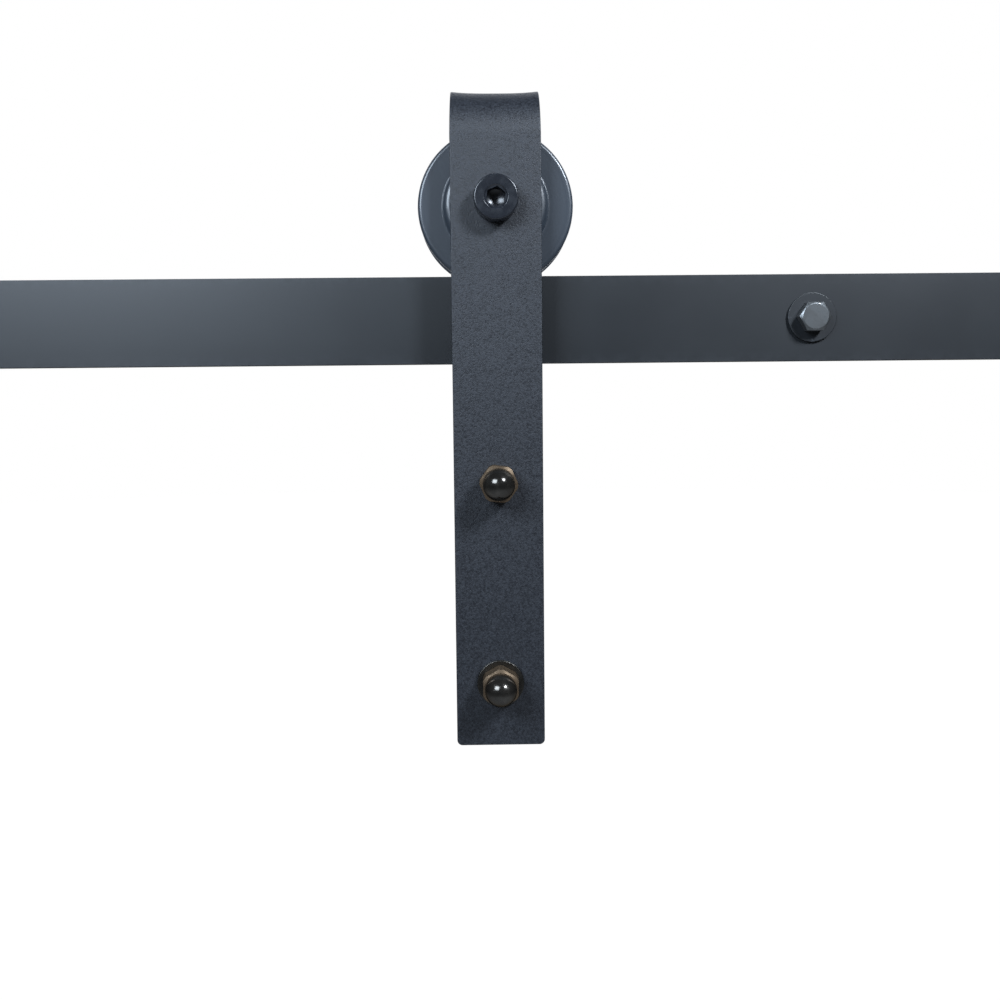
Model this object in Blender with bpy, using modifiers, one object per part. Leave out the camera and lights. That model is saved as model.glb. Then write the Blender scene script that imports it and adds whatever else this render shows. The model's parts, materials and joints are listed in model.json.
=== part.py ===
"""Sliding barn door hardware: one J-strap roller hanger on a flat-bar track.

Frame: X along the track, +Y into the wall, +Z up. The origin is on the wall plane, on the
track's centre line, midway between the two wall bolts. All lengths are in metres.
"""

from math import atan2, cos, pi, radians, sin, sqrt, tau

import bmesh
import bpy
from mathutils import Matrix, Vector

# Track: a flat bar held off the wall by tube spacers
TRACK_LENGTH = 0.686
TRACK_HEIGHT = 0.040
TRACK_THICKNESS = 0.006
TRACK_EDGE_ROUND = 0.0013
WALL_BOLT_SPACING = 0.4064
SPACER_LENGTH = 0.038
SPACER_RADIUS = 0.011
SPACER_CHAMFER = 0.0006
WALL_HOLE_SLACK = 0.0005  # added to the lag bolt's radius

# Wheel: grooved steel, with raised hubs on both faces
ROLLING_RADIUS = 0.0305
FLANGE_RADIUS = 0.03525
FLANGE_HALF_WIDTH = 0.0088
FLANGE_EDGE_ROUND = 0.0018
HUB_RADIUS = 0.0244
HUB_HALF_WIDTH = 0.0138
HUB_ROUND = 0.003
HUB_FOOT_ROUND = 0.001
GROOVE_LIP_HEIGHT = 0.006
GROOVE_HALF_WIDTH = 0.0035
BEARING_SHOULDER = 0.0018
CIRCLIP_GROOVE_DEPTH = 0.0012
CIRCLIP_GROOVE_WIDTH = 0.0016

# Strap: a flat bar bent over the wheel, long leg in front
STRAP_WIDTH = 0.040
STRAP_THICKNESS = 0.006
STRAP_EDGE_ROUND = 0.0007
STRAP_INNER_HALF_GAP = 0.0164
BEND_ABOVE_AXLE = 0.0288
FRONT_LEG_DROP = 0.24505
BACK_LEG_DROP = 0.020
FRONT_CORNER_RADIUS = 0.0024
BACK_CORNER_RADIUS = 0.012
BEND_NARROWING = 0.0004
BEND_CURL = 0.0008
UPPER_BOLT_DROP = 0.1246
LOWER_BOLT_DROP = 0.2159
DOOR_THICKNESS = 0.035
DOOR_HOLE_SLACK = 0.0004  # added to the door bolt's radius

# Ball bearing, 12 mm bore and 32 mm across
BEARING_BORE_RADIUS = 0.006
BEARING_OUTER_RADIUS = 0.016
BEARING_HALF_WIDTH = 0.005
BALL_PITCH_RADIUS = 0.011
BALL_RADIUS = 0.002976
BALL_COUNT = 7
GROOVE_SLACK = 0.00025
INNER_SHOULDER_RADIUS = 0.0091
OUTER_SHOULDER_RADIUS = 0.0129
RING_CHAMFER = 0.0004
CAGE_INNER_RADIUS = 0.0103
CAGE_OUTER_RADIUS = 0.0117
CAGE_HALF_WIDTH = 0.0039
SHIELD_THICKNESS = 0.0004
SHIELD_INSET = 0.0002
CIRCLIP_INNER_RADIUS = 0.0146
CIRCLIP_THICKNESS = 0.0012

# Fasteners
AXLE_SHANK_RADIUS = 0.006
AXLE_HEAD_RADIUS = 0.0098
AXLE_HEAD_HEIGHT = 0.00785
AXLE_HEAD_ROUND = 0.0008
AXLE_KEY_ACROSS_FLATS = 0.008
AXLE_KEY_DEPTH = 0.0058
AXLE_MOUTH_DEPTH = 0.0006
AXLE_TAIL_LENGTH = 0.0135
AXLE_THREAD_DEPTH = 0.0009
AXLE_THREAD_PITCH = 0.00175
BUSH_RADIUS = 0.0088
BUSH_CHAMFER = 0.0004
AXLE_WASHER_RADIUS = 0.012
AXLE_WASHER_THICKNESS = 0.002
AXLE_NUT_ACROSS_FLATS = 0.018
AXLE_NUT_HEX_HEIGHT = 0.0075
AXLE_NUT_COLLAR_RADIUS = 0.0079
AXLE_NUT_HEIGHT = 0.010
DOOR_BOLT_RADIUS = 0.00475
DOOR_HEAD_ACROSS_FLATS = 0.0143
DOOR_HEAD_HEIGHT = 0.0062
DOOR_THREAD_LENGTH = 0.021
DOOR_THREAD_DEPTH = 0.0008
DOOR_THREAD_PITCH = 0.0016
DOOR_BOLT_IN_NUT = 0.0115
DOOR_NUT_ACROSS_FLATS = 0.0159
DOOR_NUT_HEX_HEIGHT = 0.0095
DOOR_NUT_DOME_RADIUS = 0.0071
DOOR_NUT_HEIGHT = 0.0193
DOOR_NUT_BORE_DEPTH = 0.0135
DOOR_NUT_TOP_CUT = 0.0008
UPPER_NUT_TURN = 23.5  # degrees past a corner straight up
DOOR_WASHER_RADIUS = 0.01065
BACK_WASHER_RADIUS = 0.012
HEAD_CORNER_CUT = 0.0006
LAG_RADIUS = 0.004
LAG_HEAD_ACROSS_FLATS = 0.013
LAG_HEAD_HEIGHT = 0.0053
LAG_IN_WALL = 0.045
LAG_PLAIN_IN_WALL = 0.004
LAG_THREAD_DEPTH = 0.0009
LAG_THREAD_PITCH = 0.0032
LAG_TIP_LENGTH = 0.006
LAG_WASHER_RADIUS = 0.0113
LAG_WASHER_THICKNESS = 0.0012
WASHER_THICKNESS = 0.0016
WASHER_CHAMFER = 0.0003

# End stops: a block that straddles the track, with a rubber bumper at axle height
STOP_LENGTH = 0.022
STOP_HALF_WIDTH = 0.009
STOP_TOP = 0.062
STOP_BOTTOM = -0.006
STOP_INSET = 0.010
STOP_EDGE_CUT = 0.0012
BUMPER_RADIUS = 0.009
BUMPER_LENGTH = 0.008
BUMPER_ROUND = 0.002
PEG_RADIUS = 0.003
PEG_LENGTH = 0.008
SET_SCREW_RADIUS = 0.003
SET_SCREW_KEY_ACROSS_FLATS = 0.003
SET_SCREW_KEY_DEPTH = 0.0028
SET_SCREW_CHAMFER = 0.0004
SET_SCREW_POINT = 0.0008
SET_SCREW_PLACES = [(-0.0055, 0.008), (0.0055, 0.008)]

GAP = 0.0003  # space left between two pieces that touch
OVERSHOOT = 0.001  # how far a cutting or joining solid passes a face
WHEEL_STEPS = 40
ROUND_STEPS = 24
SMALL_STEPS = 16

# Places worked out from the sizes above
TRACK_Y = -(SPACER_LENGTH + GAP + TRACK_THICKNESS / 2)
TRACK_FRONT_Y = TRACK_Y - TRACK_THICKNESS / 2
AXLE_Z = TRACK_HEIGHT / 2 + ROLLING_RADIUS
WALL_BOLT_X = WALL_BOLT_SPACING / 2
HANGER_X = WALL_BOLT_X - 0.1462
STRAP_OUTER_HALF_GAP = STRAP_INNER_HALF_GAP + STRAP_THICKNESS
STOP_CENTRE_X = TRACK_LENGTH / 2 - STOP_INSET - STOP_LENGTH / 2

# A piece turned about its local Z faces the room, -Y, with this turn
TO_FRONT = (pi / 2, 0, 0)

for old in list(bpy.data.objects):
    bpy.data.objects.remove(old, do_unlink=True)

parts = bpy.data.collections.new("sliding_barn_door_hardware")
bpy.context.scene.collection.children.link(parts)


def coat(name, color, roughness, metallic):
    """A Principled material with one colour, for the model view."""
    material = bpy.data.materials.new(name)
    material.use_nodes = True
    shader = material.node_tree.nodes["Principled BSDF"]
    shader.inputs["Base Color"].default_value = (*color, 1.0)
    shader.inputs["Roughness"].default_value = roughness
    shader.inputs["Metallic"].default_value = metallic
    return material


strap_coat = coat("strap_coat", (0.075, 0.083, 0.103), 0.62, 0.0)
track_coat = coat("track_coat", (0.062, 0.072, 0.086), 0.42, 0.0)
wheel_coat = coat("wheel_coat", (0.07, 0.08, 0.096), 0.40, 0.0)
black_oxide = coat("black_oxide", (0.012, 0.012, 0.014), 0.22, 0.8)
black_nickel = coat("black_nickel", (0.03, 0.026, 0.022), 0.12, 1.0)
dull_zinc = coat("dull_zinc", (0.22, 0.23, 0.24), 0.45, 1.0)
bearing_steel = coat("bearing_steel", (0.6, 0.6, 0.62), 0.2, 1.0)
black_rubber = coat("black_rubber", (0.015, 0.015, 0.016), 0.8, 0.0)


def scratch_object(mesh):
    """A mesh on a temporary object, at the origin, for modifiers to work on."""
    made = bpy.data.objects.new("scratch", mesh)
    bpy.context.scene.collection.objects.link(made)
    return made


def finished(made, *tools):
    """The mesh that the object's modifiers give; the temporary objects are removed."""
    depsgraph = bpy.context.evaluated_depsgraph_get()
    mesh = bpy.data.meshes.new_from_object(made.evaluated_get(depsgraph))
    for spent in (made, *tools):
        bpy.data.objects.remove(spent)
    mesh.shade_smooth()
    mesh.set_sharp_from_angle(angle=radians(32))
    return mesh


def boolean(made, tool, operation):
    step = made.modifiers.new(operation.lower(), "BOOLEAN")
    step.operation = operation
    step.solver = "EXACT"
    step.object = tool


def rounded(made, width, segments=2):
    step = made.modifiers.new("edge_round", "BEVEL")
    step.width = width
    step.segments = segments
    step.limit_method = "ANGLE"
    step.angle_limit = radians(40)


def add_piece(name, mesh, material, place, turn=(0, 0, 0), parent=None):
    """Puts a finished mesh in the model as a named piece."""
    piece = bpy.data.objects.new(name, mesh)
    piece.location = place
    piece.rotation_euler = turn
    piece.parent = parent
    if not mesh.materials:
        mesh.materials.append(material)
    parts.objects.link(piece)
    return piece


def arc(centre_r, centre_h, radius, start, end, steps):
    """Profile points along an arc, angles in degrees from the radial direction."""
    turns = [radians(start + (end - start) * i / steps) for i in range(steps + 1)]
    return [(centre_r + radius * cos(t), centre_h + radius * sin(t)) for t in turns]


def turned_object(profile, steps, ring):
    """A profile of (radius, height) points, from the top down its outer side, turned about Z."""
    mesh = bpy.data.meshes.new("profile")
    shape = bmesh.new()
    corners = [shape.verts.new((r, 0, h)) for r, h in profile]
    for first, second in zip(corners, corners[1:]):
        shape.edges.new((first, second))
    if ring:
        shape.edges.new((corners[-1], corners[0]))
    shape.to_mesh(mesh)
    shape.free()
    made = scratch_object(mesh)
    turn = made.modifiers.new("turned", "SCREW")
    turn.angle = tau
    turn.steps = steps
    turn.render_steps = steps
    turn.use_merge_vertices = True
    turn.merge_threshold = 0.00001
    return made


def turned_mesh(profile, steps=ROUND_STEPS, ring=False):
    return finished(turned_object(profile, steps, ring))


def ring_mesh(inner, outer, low, high, chamfer=0.0):
    """A washer or a tube along Z; its top outer edge may be chamfered."""
    profile = [(inner, high), (outer - chamfer, high)]
    if chamfer:
        profile.append((outer, high - chamfer))
    profile += [(outer, low), (inner, low)]
    return turned_mesh(profile, ring=True)


def rod_tool(radius, low, high, segments=SMALL_STEPS):
    """A straight rod along Z; with six segments, a hexagon with a corner at +Y."""
    mesh = bpy.data.meshes.new("rod")
    shape = bmesh.new()
    bmesh.ops.create_cone(
        shape, cap_ends=True, segments=segments, radius1=radius, radius2=radius, depth=high - low
    )
    bmesh.ops.translate(shape, verts=shape.verts, vec=(0, 0, (high + low) / 2))
    shape.to_mesh(mesh)
    shape.free()
    return scratch_object(mesh)


def hexagon_tool(across_flats, low, high, turn=0.0):
    """A hexagonal bar along Z. At a turn of 0 it has a corner at +Y, and at 30 degrees a flat there."""
    tool = rod_tool(across_flats / sqrt(3), low, high, segments=6)
    tool.data.transform(Matrix.Rotation(turn, 4, "Z"))
    return tool


def box_tool(low, high):
    """A box between two corners."""
    mesh = bpy.data.meshes.new("box")
    shape = bmesh.new()
    size = Vector(high) - Vector(low)
    middle = (Vector(high) + Vector(low)) / 2
    bmesh.ops.create_cube(shape, size=1.0)
    bmesh.ops.scale(shape, verts=shape.verts, vec=size)
    bmesh.ops.translate(shape, verts=shape.verts, vec=middle)
    shape.to_mesh(mesh)
    shape.free()
    return scratch_object(mesh)


def thread(radius, depth, top, bottom, pitch):
    """Outer profile points of a thread, drawn as closed ridges one pitch apart."""
    count = int((top - bottom) / pitch)
    points = []
    for i in range(count):
        crest = top - i * pitch
        points += [(radius, crest), (radius - depth, crest - pitch / 2)]
    points.append((radius, top - count * pitch))
    return points


def chamfered_hexagon(across_flats, low, high, turn, top_cut, bottom_cut):
    """A hexagonal head whose corners are cut back by a cone at its ends."""
    corner = across_flats / sqrt(3)
    profile = [(0, high)]
    profile += [(corner - top_cut * 1.9, high), (corner + 0.0002, high - top_cut * 1.1)]
    profile += [(corner + 0.0002, low + bottom_cut * 1.1), (corner - bottom_cut * 1.9, low)]
    profile.append((0, low))
    cone = turned_object(profile, ROUND_STEPS, ring=False)
    head = hexagon_tool(across_flats, low - OVERSHOOT, high + OVERSHOOT, turn)
    boolean(head, cone, "INTERSECT")
    return head, cone


# The track, its spacers and the bolts that hold it to the wall


def make_track():
    low = (-TRACK_LENGTH / 2, -TRACK_THICKNESS / 2, -TRACK_HEIGHT / 2)
    bar = box_tool(low, tuple(-side for side in low))
    rounded(bar, TRACK_EDGE_ROUND, 2)
    holes = []
    for side in (-1, 1):
        hole = rod_tool(LAG_RADIUS + WALL_HOLE_SLACK, -TRACK_THICKNESS, TRACK_THICKNESS)
        hole.data.transform(Matrix.Rotation(pi / 2, 4, "X"))
        hole.data.transform(Matrix.Translation((side * WALL_BOLT_X, 0, 0)))
        boolean(bar, hole, "DIFFERENCE")
        holes.append(hole)
    add_piece("track_rail", finished(bar, *holes), track_coat, (0, TRACK_Y, 0))


def lag_bolt_mesh():
    """A hex-head lag screw; its origin is under the head and its head points along +Z."""
    length = LAG_IN_WALL + SPACER_LENGTH + TRACK_THICKNESS + WASHER_THICKNESS + GAP * 4
    plain = -(length - LAG_IN_WALL) - LAG_PLAIN_IN_WALL
    thread_low = -length + LAG_TIP_LENGTH
    shank = [(0, OVERSHOOT), (LAG_RADIUS, OVERSHOOT), (LAG_RADIUS, plain)]
    shank += thread(LAG_RADIUS, LAG_THREAD_DEPTH, plain - 0.001, thread_low, LAG_THREAD_PITCH)
    shank += [(0.0015, -length + 0.001), (0, -length)]
    shank_tool = turned_object(shank, 12, ring=False)
    head, cone = chamfered_hexagon(
        LAG_HEAD_ACROSS_FLATS, 0, LAG_HEAD_HEIGHT, radians(30), HEAD_CORNER_CUT, bottom_cut=0
    )
    boolean(head, shank_tool, "UNION")
    return finished(head, cone, shank_tool)


def make_wall_fixings():
    bore = LAG_RADIUS + WALL_HOLE_SLACK
    spacer = ring_mesh(bore, SPACER_RADIUS, 0, SPACER_LENGTH, SPACER_CHAMFER)
    washer = ring_mesh(bore, LAG_WASHER_RADIUS, 0, LAG_WASHER_THICKNESS, WASHER_CHAMFER)
    bolt = lag_bolt_mesh()
    washer_y = TRACK_FRONT_Y - GAP
    head_y = washer_y - LAG_WASHER_THICKNESS - GAP
    for side, x in (("left", -WALL_BOLT_X), ("right", WALL_BOLT_X)):
        add_piece("wall_spacer_" + side, spacer, track_coat, (x, 0, 0), TO_FRONT)
        add_piece("track_washer_" + side, washer, track_coat, (x, washer_y, 0), TO_FRONT)
        add_piece("lag_bolt_" + side, bolt, dull_zinc, (x, head_y, 0), TO_FRONT)


# The end stops


def stop_block_mesh():
    low = (-STOP_LENGTH / 2, -STOP_HALF_WIDTH, STOP_BOTTOM)
    high = (STOP_LENGTH / 2, STOP_HALF_WIDTH, STOP_TOP)
    block = box_tool(low, high)
    rounded(block, STOP_EDGE_CUT, 1)
    slot_half = TRACK_THICKNESS / 2 + GAP
    slot_top = TRACK_HEIGHT / 2 + GAP
    slot = box_tool((-STOP_LENGTH, -slot_half, -slot_top), (STOP_LENGTH, slot_half, slot_top))
    peg_hole = rod_tool(PEG_RADIUS + GAP, -STOP_LENGTH, STOP_LENGTH)
    peg_hole.data.transform(Matrix.Rotation(pi / 2, 4, "Y"))
    peg_hole.data.transform(Matrix.Translation((0, 0, AXLE_Z)))
    tools = [slot, peg_hole]
    for x, z in SET_SCREW_PLACES:
        hole = rod_tool(SET_SCREW_RADIUS + GAP, 0, STOP_HALF_WIDTH + OVERSHOOT)
        hole.data.transform(Matrix.Translation((x, 0, z)) @ Matrix.Rotation(pi / 2, 4, "X"))
        tools.append(hole)
    for tool in tools:
        boolean(block, tool, "DIFFERENCE")
    return finished(block, *tools)


def bumper_mesh():
    """A rubber button along +Z with a peg behind it."""
    edge = BUMPER_ROUND
    profile = [(0, BUMPER_LENGTH)]
    profile += arc(BUMPER_RADIUS - edge, BUMPER_LENGTH - edge, edge, 90, 0, 3)
    profile += [(BUMPER_RADIUS, 0), (PEG_RADIUS, 0)]
    profile += [(PEG_RADIUS, -PEG_LENGTH), (0, -PEG_LENGTH)]
    return turned_mesh(profile)


def set_screw_mesh():
    """A socket set screw along +Z, its top at the origin."""
    length = STOP_HALF_WIDTH - TRACK_THICKNESS / 2 - 3 * GAP
    radius = SET_SCREW_RADIUS
    chamfer = SET_SCREW_CHAMFER
    point = SET_SCREW_POINT
    profile = [(0, 0), (radius - chamfer, 0), (radius, -chamfer)]
    profile += [(radius, -length + point), (radius - point, -length), (0, -length)]
    body = turned_object(profile, SMALL_STEPS, ring=False)
    key = hexagon_tool(SET_SCREW_KEY_ACROSS_FLATS, -SET_SCREW_KEY_DEPTH, OVERSHOOT)
    boolean(body, key, "DIFFERENCE")
    return finished(body, key)


def make_end_stops():
    block = stop_block_mesh()
    bumper = bumper_mesh()
    screw = set_screw_mesh()
    for side, sign in (("left", -1), ("right", 1)):
        x = sign * STOP_CENTRE_X
        stop = add_piece("end_stop_" + side, block, track_coat, (x, TRACK_Y, 0))
        bumper_x = sign * (STOP_CENTRE_X - STOP_LENGTH / 2 - GAP)
        bumper_turn = (0, -sign * pi / 2, 0)
        add_piece("bumper_" + side, bumper, black_rubber, (bumper_x, TRACK_Y, AXLE_Z), bumper_turn)
        for number, (dx, z) in enumerate(SET_SCREW_PLACES, start=1):
            add_piece(
                f"stop_set_screw_{side}_{number}",
                screw,
                black_oxide,
                (dx, -STOP_HALF_WIDTH + GAP, z),
                TO_FRONT,
                parent=stop,
            )


# The hanger; its pieces are placed from the axle's centre, above the track


def axle_centre():
    """An empty on the wheel's axle, where the strap, the wheel and the bearing cage turn."""
    marker = bpy.data.objects.new("axle_centre", None)
    marker.location = (HANGER_X, TRACK_Y, AXLE_Z)
    marker.empty_display_size = 0.02
    parts.objects.link(marker)
    return marker


def strap_rows():
    """Rows across the strap's outer face, from the front leg's end over the bend to the back leg's end.

    Each row is (forward, up, half width, curl), measured from the axle. The curl is how far
    the edges of the bent part stand out from its middle, as a tight bend makes them.
    """
    half = STRAP_WIDTH / 2
    reach = STRAP_OUTER_HALF_GAP
    rows = []
    for i in range(4):
        t = radians(30 * i)
        narrower = FRONT_CORNER_RADIUS * (1 - sin(t))
        up = -FRONT_LEG_DROP + FRONT_CORNER_RADIUS * (1 - cos(t))
        rows.append((reach, up, half - narrower, 0))
    rows.append((reach, BEND_ABOVE_AXLE - 0.012, half, 0))
    bend_steps = 12
    for i in range(bend_steps + 1):
        t = pi * i / bend_steps
        strength = sin(t)
        rows.append(
            (
                reach * cos(t),
                BEND_ABOVE_AXLE + reach * sin(t),
                half - BEND_NARROWING * strength,
                BEND_CURL * strength,
            )
        )
    for i in range(5):
        t = radians(22.5 * i)
        narrower = BACK_CORNER_RADIUS * (1 - cos(t))
        up = -BACK_LEG_DROP + BACK_CORNER_RADIUS * (1 - sin(t))
        rows.append((-reach, up, half - narrower, 0))
    return rows


def strap_mesh():
    """The strap stands along local Z with its front towards -Y."""
    mesh = bpy.data.meshes.new("strap")
    shape = bmesh.new()
    across = 6
    grid = []
    for forward, up, half, curl in strap_rows():
        bend_angle = atan2(up - BEND_ABOVE_AXLE, forward)
        line = []
        for column in range(across + 1):
            u = 2 * column / across - 1
            stand_out = curl * abs(u) ** 3
            y = -(forward + stand_out * cos(bend_angle))
            z = up + stand_out * sin(bend_angle)
            line.append(shape.verts.new((u * half, y, z)))
        grid.append(line)
    for lower, upper in zip(grid, grid[1:]):
        for column in range(across):
            shape.faces.new(
                (lower[column], lower[column + 1], upper[column + 1], upper[column])
            )
    shape.to_mesh(mesh)
    shape.free()
    strap = scratch_object(mesh)
    wall = strap.modifiers.new("bar", "SOLIDIFY")
    wall.thickness = STRAP_THICKNESS
    wall.offset = -1.0
    wall.use_even_offset = True
    rounded(strap, STRAP_EDGE_ROUND, 2)
    tools = []
    reach = STRAP_OUTER_HALF_GAP + OVERSHOOT
    for drop, radius, front, back in (
        (0, AXLE_SHANK_RADIUS + GAP, reach, -reach),
        (-UPPER_BOLT_DROP, DOOR_BOLT_RADIUS + DOOR_HOLE_SLACK, reach, 0),
        (-LOWER_BOLT_DROP, DOOR_BOLT_RADIUS + DOOR_HOLE_SLACK, reach, 0),
    ):
        hole = rod_tool(radius, back, front, ROUND_STEPS)
        hole.data.transform(Matrix.Translation((0, 0, drop)) @ Matrix.Rotation(pi / 2, 4, "X"))
        boolean(strap, hole, "DIFFERENCE")
        tools.append(hole)
    return finished(strap, *tools)


def wheel_mesh():
    """A grooved wheel; the front has the open bearing seat, the back its shoulder."""
    groove_radius = ROLLING_RADIUS - GAP
    seat = BEARING_OUTER_RADIUS + GAP
    seat_half = BEARING_HALF_WIDTH + GAP
    shoulder = seat - BEARING_SHOULDER
    clip = seat + CIRCLIP_GROOVE_DEPTH
    clip_low = seat_half + SHIELD_INSET
    clip_high = clip_low + CIRCLIP_GROOVE_WIDTH
    face = FLANGE_HALF_WIDTH
    foot = HUB_FOOT_ROUND
    lip = GROOVE_LIP_HEIGHT
    half = GROOVE_HALF_WIDTH

    side = arc(HUB_RADIUS - HUB_ROUND, HUB_HALF_WIDTH - HUB_ROUND, HUB_ROUND, 90, 0, 3)
    side += arc(HUB_RADIUS + foot, face + foot, foot, 180, 270, 2)
    side += arc(
        FLANGE_RADIUS - FLANGE_EDGE_ROUND, face - FLANGE_EDGE_ROUND, FLANGE_EDGE_ROUND, 90, 0, 3
    )
    side += [(FLANGE_RADIUS, lip), (FLANGE_RADIUS - 0.0007, lip - 0.0008)]
    side += [(groove_radius + 0.0008, half + 0.0005), (groove_radius, half)]
    profile = [(seat, HUB_HALF_WIDTH)] + side
    profile += [(r, -h) for r, h in reversed(side)]
    profile += [(shoulder, -HUB_HALF_WIDTH), (shoulder, -seat_half), (seat, -seat_half)]
    profile += [(seat, clip_low), (clip, clip_low), (clip, clip_high), (seat, clip_high)]
    return turned_mesh(profile, WHEEL_STEPS, ring=True)


def race_arc(low_radius, outward):
    """The ball groove of a bearing ring, from its top edge to its bottom edge."""
    groove = BALL_RADIUS + GROOVE_SLACK
    inset = abs(BALL_PITCH_RADIUS - low_radius)
    half_height = sqrt(groove**2 - inset**2)
    spread = atan2(half_height, inset) * 180 / pi
    if outward:
        return arc(BALL_PITCH_RADIUS, 0, groove, -spread, spread, 4)
    return arc(BALL_PITCH_RADIUS, 0, groove, 180 - spread, 180 + spread, 4)


def make_bearing(centre):
    half = BEARING_HALF_WIDTH
    shoulder_inner = INNER_SHOULDER_RADIUS
    shoulder_outer = OUTER_SHOULDER_RADIUS
    rim = BEARING_OUTER_RADIUS
    bore = BEARING_BORE_RADIUS + GAP
    inner = [(bore, half), (shoulder_inner, half)]
    inner += race_arc(shoulder_inner, outward=False)
    inner += [(shoulder_inner, -half), (bore, -half)]
    inner_ring = turned_mesh(inner, ring=True)
    add_piece("bearing_inner_ring", inner_ring, bearing_steel, (0, 0, 0), TO_FRONT, centre)

    outer = [(shoulder_outer, half), (rim - RING_CHAMFER, half)]
    outer += [(rim, half - RING_CHAMFER), (rim, -half + RING_CHAMFER)]
    outer += [(rim - RING_CHAMFER, -half), (shoulder_outer, -half)]
    outer += race_arc(shoulder_outer, outward=True)
    outer_ring = turned_mesh(outer, ring=True)
    add_piece("bearing_outer_ring", outer_ring, bearing_steel, (0, 0, 0), TO_FRONT, centre)

    facets_per_ball = 4
    band = [(CAGE_INNER_RADIUS, CAGE_HALF_WIDTH), (CAGE_OUTER_RADIUS, CAGE_HALF_WIDTH)]
    band += [(CAGE_OUTER_RADIUS, -CAGE_HALF_WIDTH), (CAGE_INNER_RADIUS, -CAGE_HALF_WIDTH)]
    cage = turned_object(band, facets_per_ball * BALL_COUNT, ring=True)
    ball = bpy.data.meshes.new("ball")
    shape = bmesh.new()
    bmesh.ops.create_uvsphere(shape, u_segments=12, v_segments=6, radius=BALL_RADIUS)
    shape.to_mesh(ball)
    shape.free()
    ball.shade_smooth()
    pockets = []
    for number in range(BALL_COUNT):
        # each ball sits in the middle of a facet of the band
        t = tau * (number + 0.5 / facets_per_ball) / BALL_COUNT
        place = Vector((BALL_PITCH_RADIUS * cos(t), BALL_PITCH_RADIUS * sin(t), 0))
        pocket = rod_tool(BALL_RADIUS + GAP, -BALL_RADIUS, BALL_RADIUS, 12)
        pocket.data.transform(
            Matrix.Translation(place) @ Matrix.Rotation(t, 4, "Z") @ Matrix.Rotation(pi / 2, 4, "Y")
        )
        boolean(cage, pocket, "DIFFERENCE")
        pockets.append(pocket)
        # local Y of a turned piece is the world's up
        where = (place.x, 0, place.y)
        add_piece(f"bearing_ball_{number + 1}", ball, bearing_steel, where, (0, 0, 0), centre)
    add_piece("bearing_cage", finished(cage, *pockets), bearing_steel, (0, 0, 0), TO_FRONT, centre)

    shield = ring_mesh(shoulder_inner + GAP, shoulder_outer - GAP, 0, SHIELD_THICKNESS)
    shield_low = half - SHIELD_INSET - SHIELD_THICKNESS
    for end, forward in (("front", shield_low), ("rear", -half + SHIELD_INSET)):
        place = (0, -forward, 0)
        add_piece("bearing_shield_" + end, shield, bearing_steel, place, TO_FRONT, centre)

    clip_rim = rim + CIRCLIP_GROOVE_DEPTH
    clip_low = half + GAP + SHIELD_INSET * 2
    clip = ring_mesh(CIRCLIP_INNER_RADIUS, clip_rim, clip_low, clip_low + CIRCLIP_THICKNESS)
    add_piece("bearing_circlip", clip, black_oxide, (0, 0, 0), TO_FRONT, centre)


def axle_bolt_mesh():
    """A socket-head axle bolt along Z, with the axle's centre at the origin."""
    seat = STRAP_OUTER_HALF_GAP + GAP
    top = seat + AXLE_HEAD_HEIGHT
    tail = -STRAP_OUTER_HALF_GAP - AXLE_TAIL_LENGTH
    mouth = AXLE_KEY_ACROSS_FLATS / sqrt(3)
    floor = top - AXLE_MOUTH_DEPTH
    edge = AXLE_HEAD_ROUND
    profile = [(0, floor), (mouth - 0.0004, floor), (mouth + 0.0002, top)]
    profile += arc(AXLE_HEAD_RADIUS - edge, top - edge, edge, 90, 0, 3)
    profile += [(AXLE_HEAD_RADIUS, seat), (AXLE_SHANK_RADIUS, seat)]
    thread_top = -STRAP_OUTER_HALF_GAP + 0.002
    thread_low = tail + 0.001
    profile += thread(
        AXLE_SHANK_RADIUS, AXLE_THREAD_DEPTH, thread_top, thread_low, AXLE_THREAD_PITCH
    )
    profile += [(AXLE_SHANK_RADIUS - 0.0012, tail), (0, tail)]
    bolt = turned_object(profile, ROUND_STEPS, ring=False)
    key = hexagon_tool(AXLE_KEY_ACROSS_FLATS, top - AXLE_KEY_DEPTH, top + OVERSHOOT, radians(30))
    boolean(bolt, key, "DIFFERENCE")
    return finished(bolt, key)


def lock_nut_mesh():
    """A nut along Z from its seat at the origin, with a round collar for its locking insert."""
    head, cone = chamfered_hexagon(
        AXLE_NUT_ACROSS_FLATS, 0, AXLE_NUT_HEX_HEIGHT, 0, HEAD_CORNER_CUT, HEAD_CORNER_CUT
    )
    collar_low = AXLE_NUT_HEX_HEIGHT - OVERSHOOT
    collar = rod_tool(AXLE_NUT_COLLAR_RADIUS, collar_low, AXLE_NUT_HEIGHT, ROUND_STEPS)
    bore = AXLE_SHANK_RADIUS + GAP
    hole = rod_tool(bore, -OVERSHOOT, AXLE_NUT_HEIGHT + OVERSHOOT, ROUND_STEPS)
    boolean(head, collar, "UNION")
    boolean(head, hole, "DIFFERENCE")
    return finished(head, cone, collar, hole)


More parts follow.
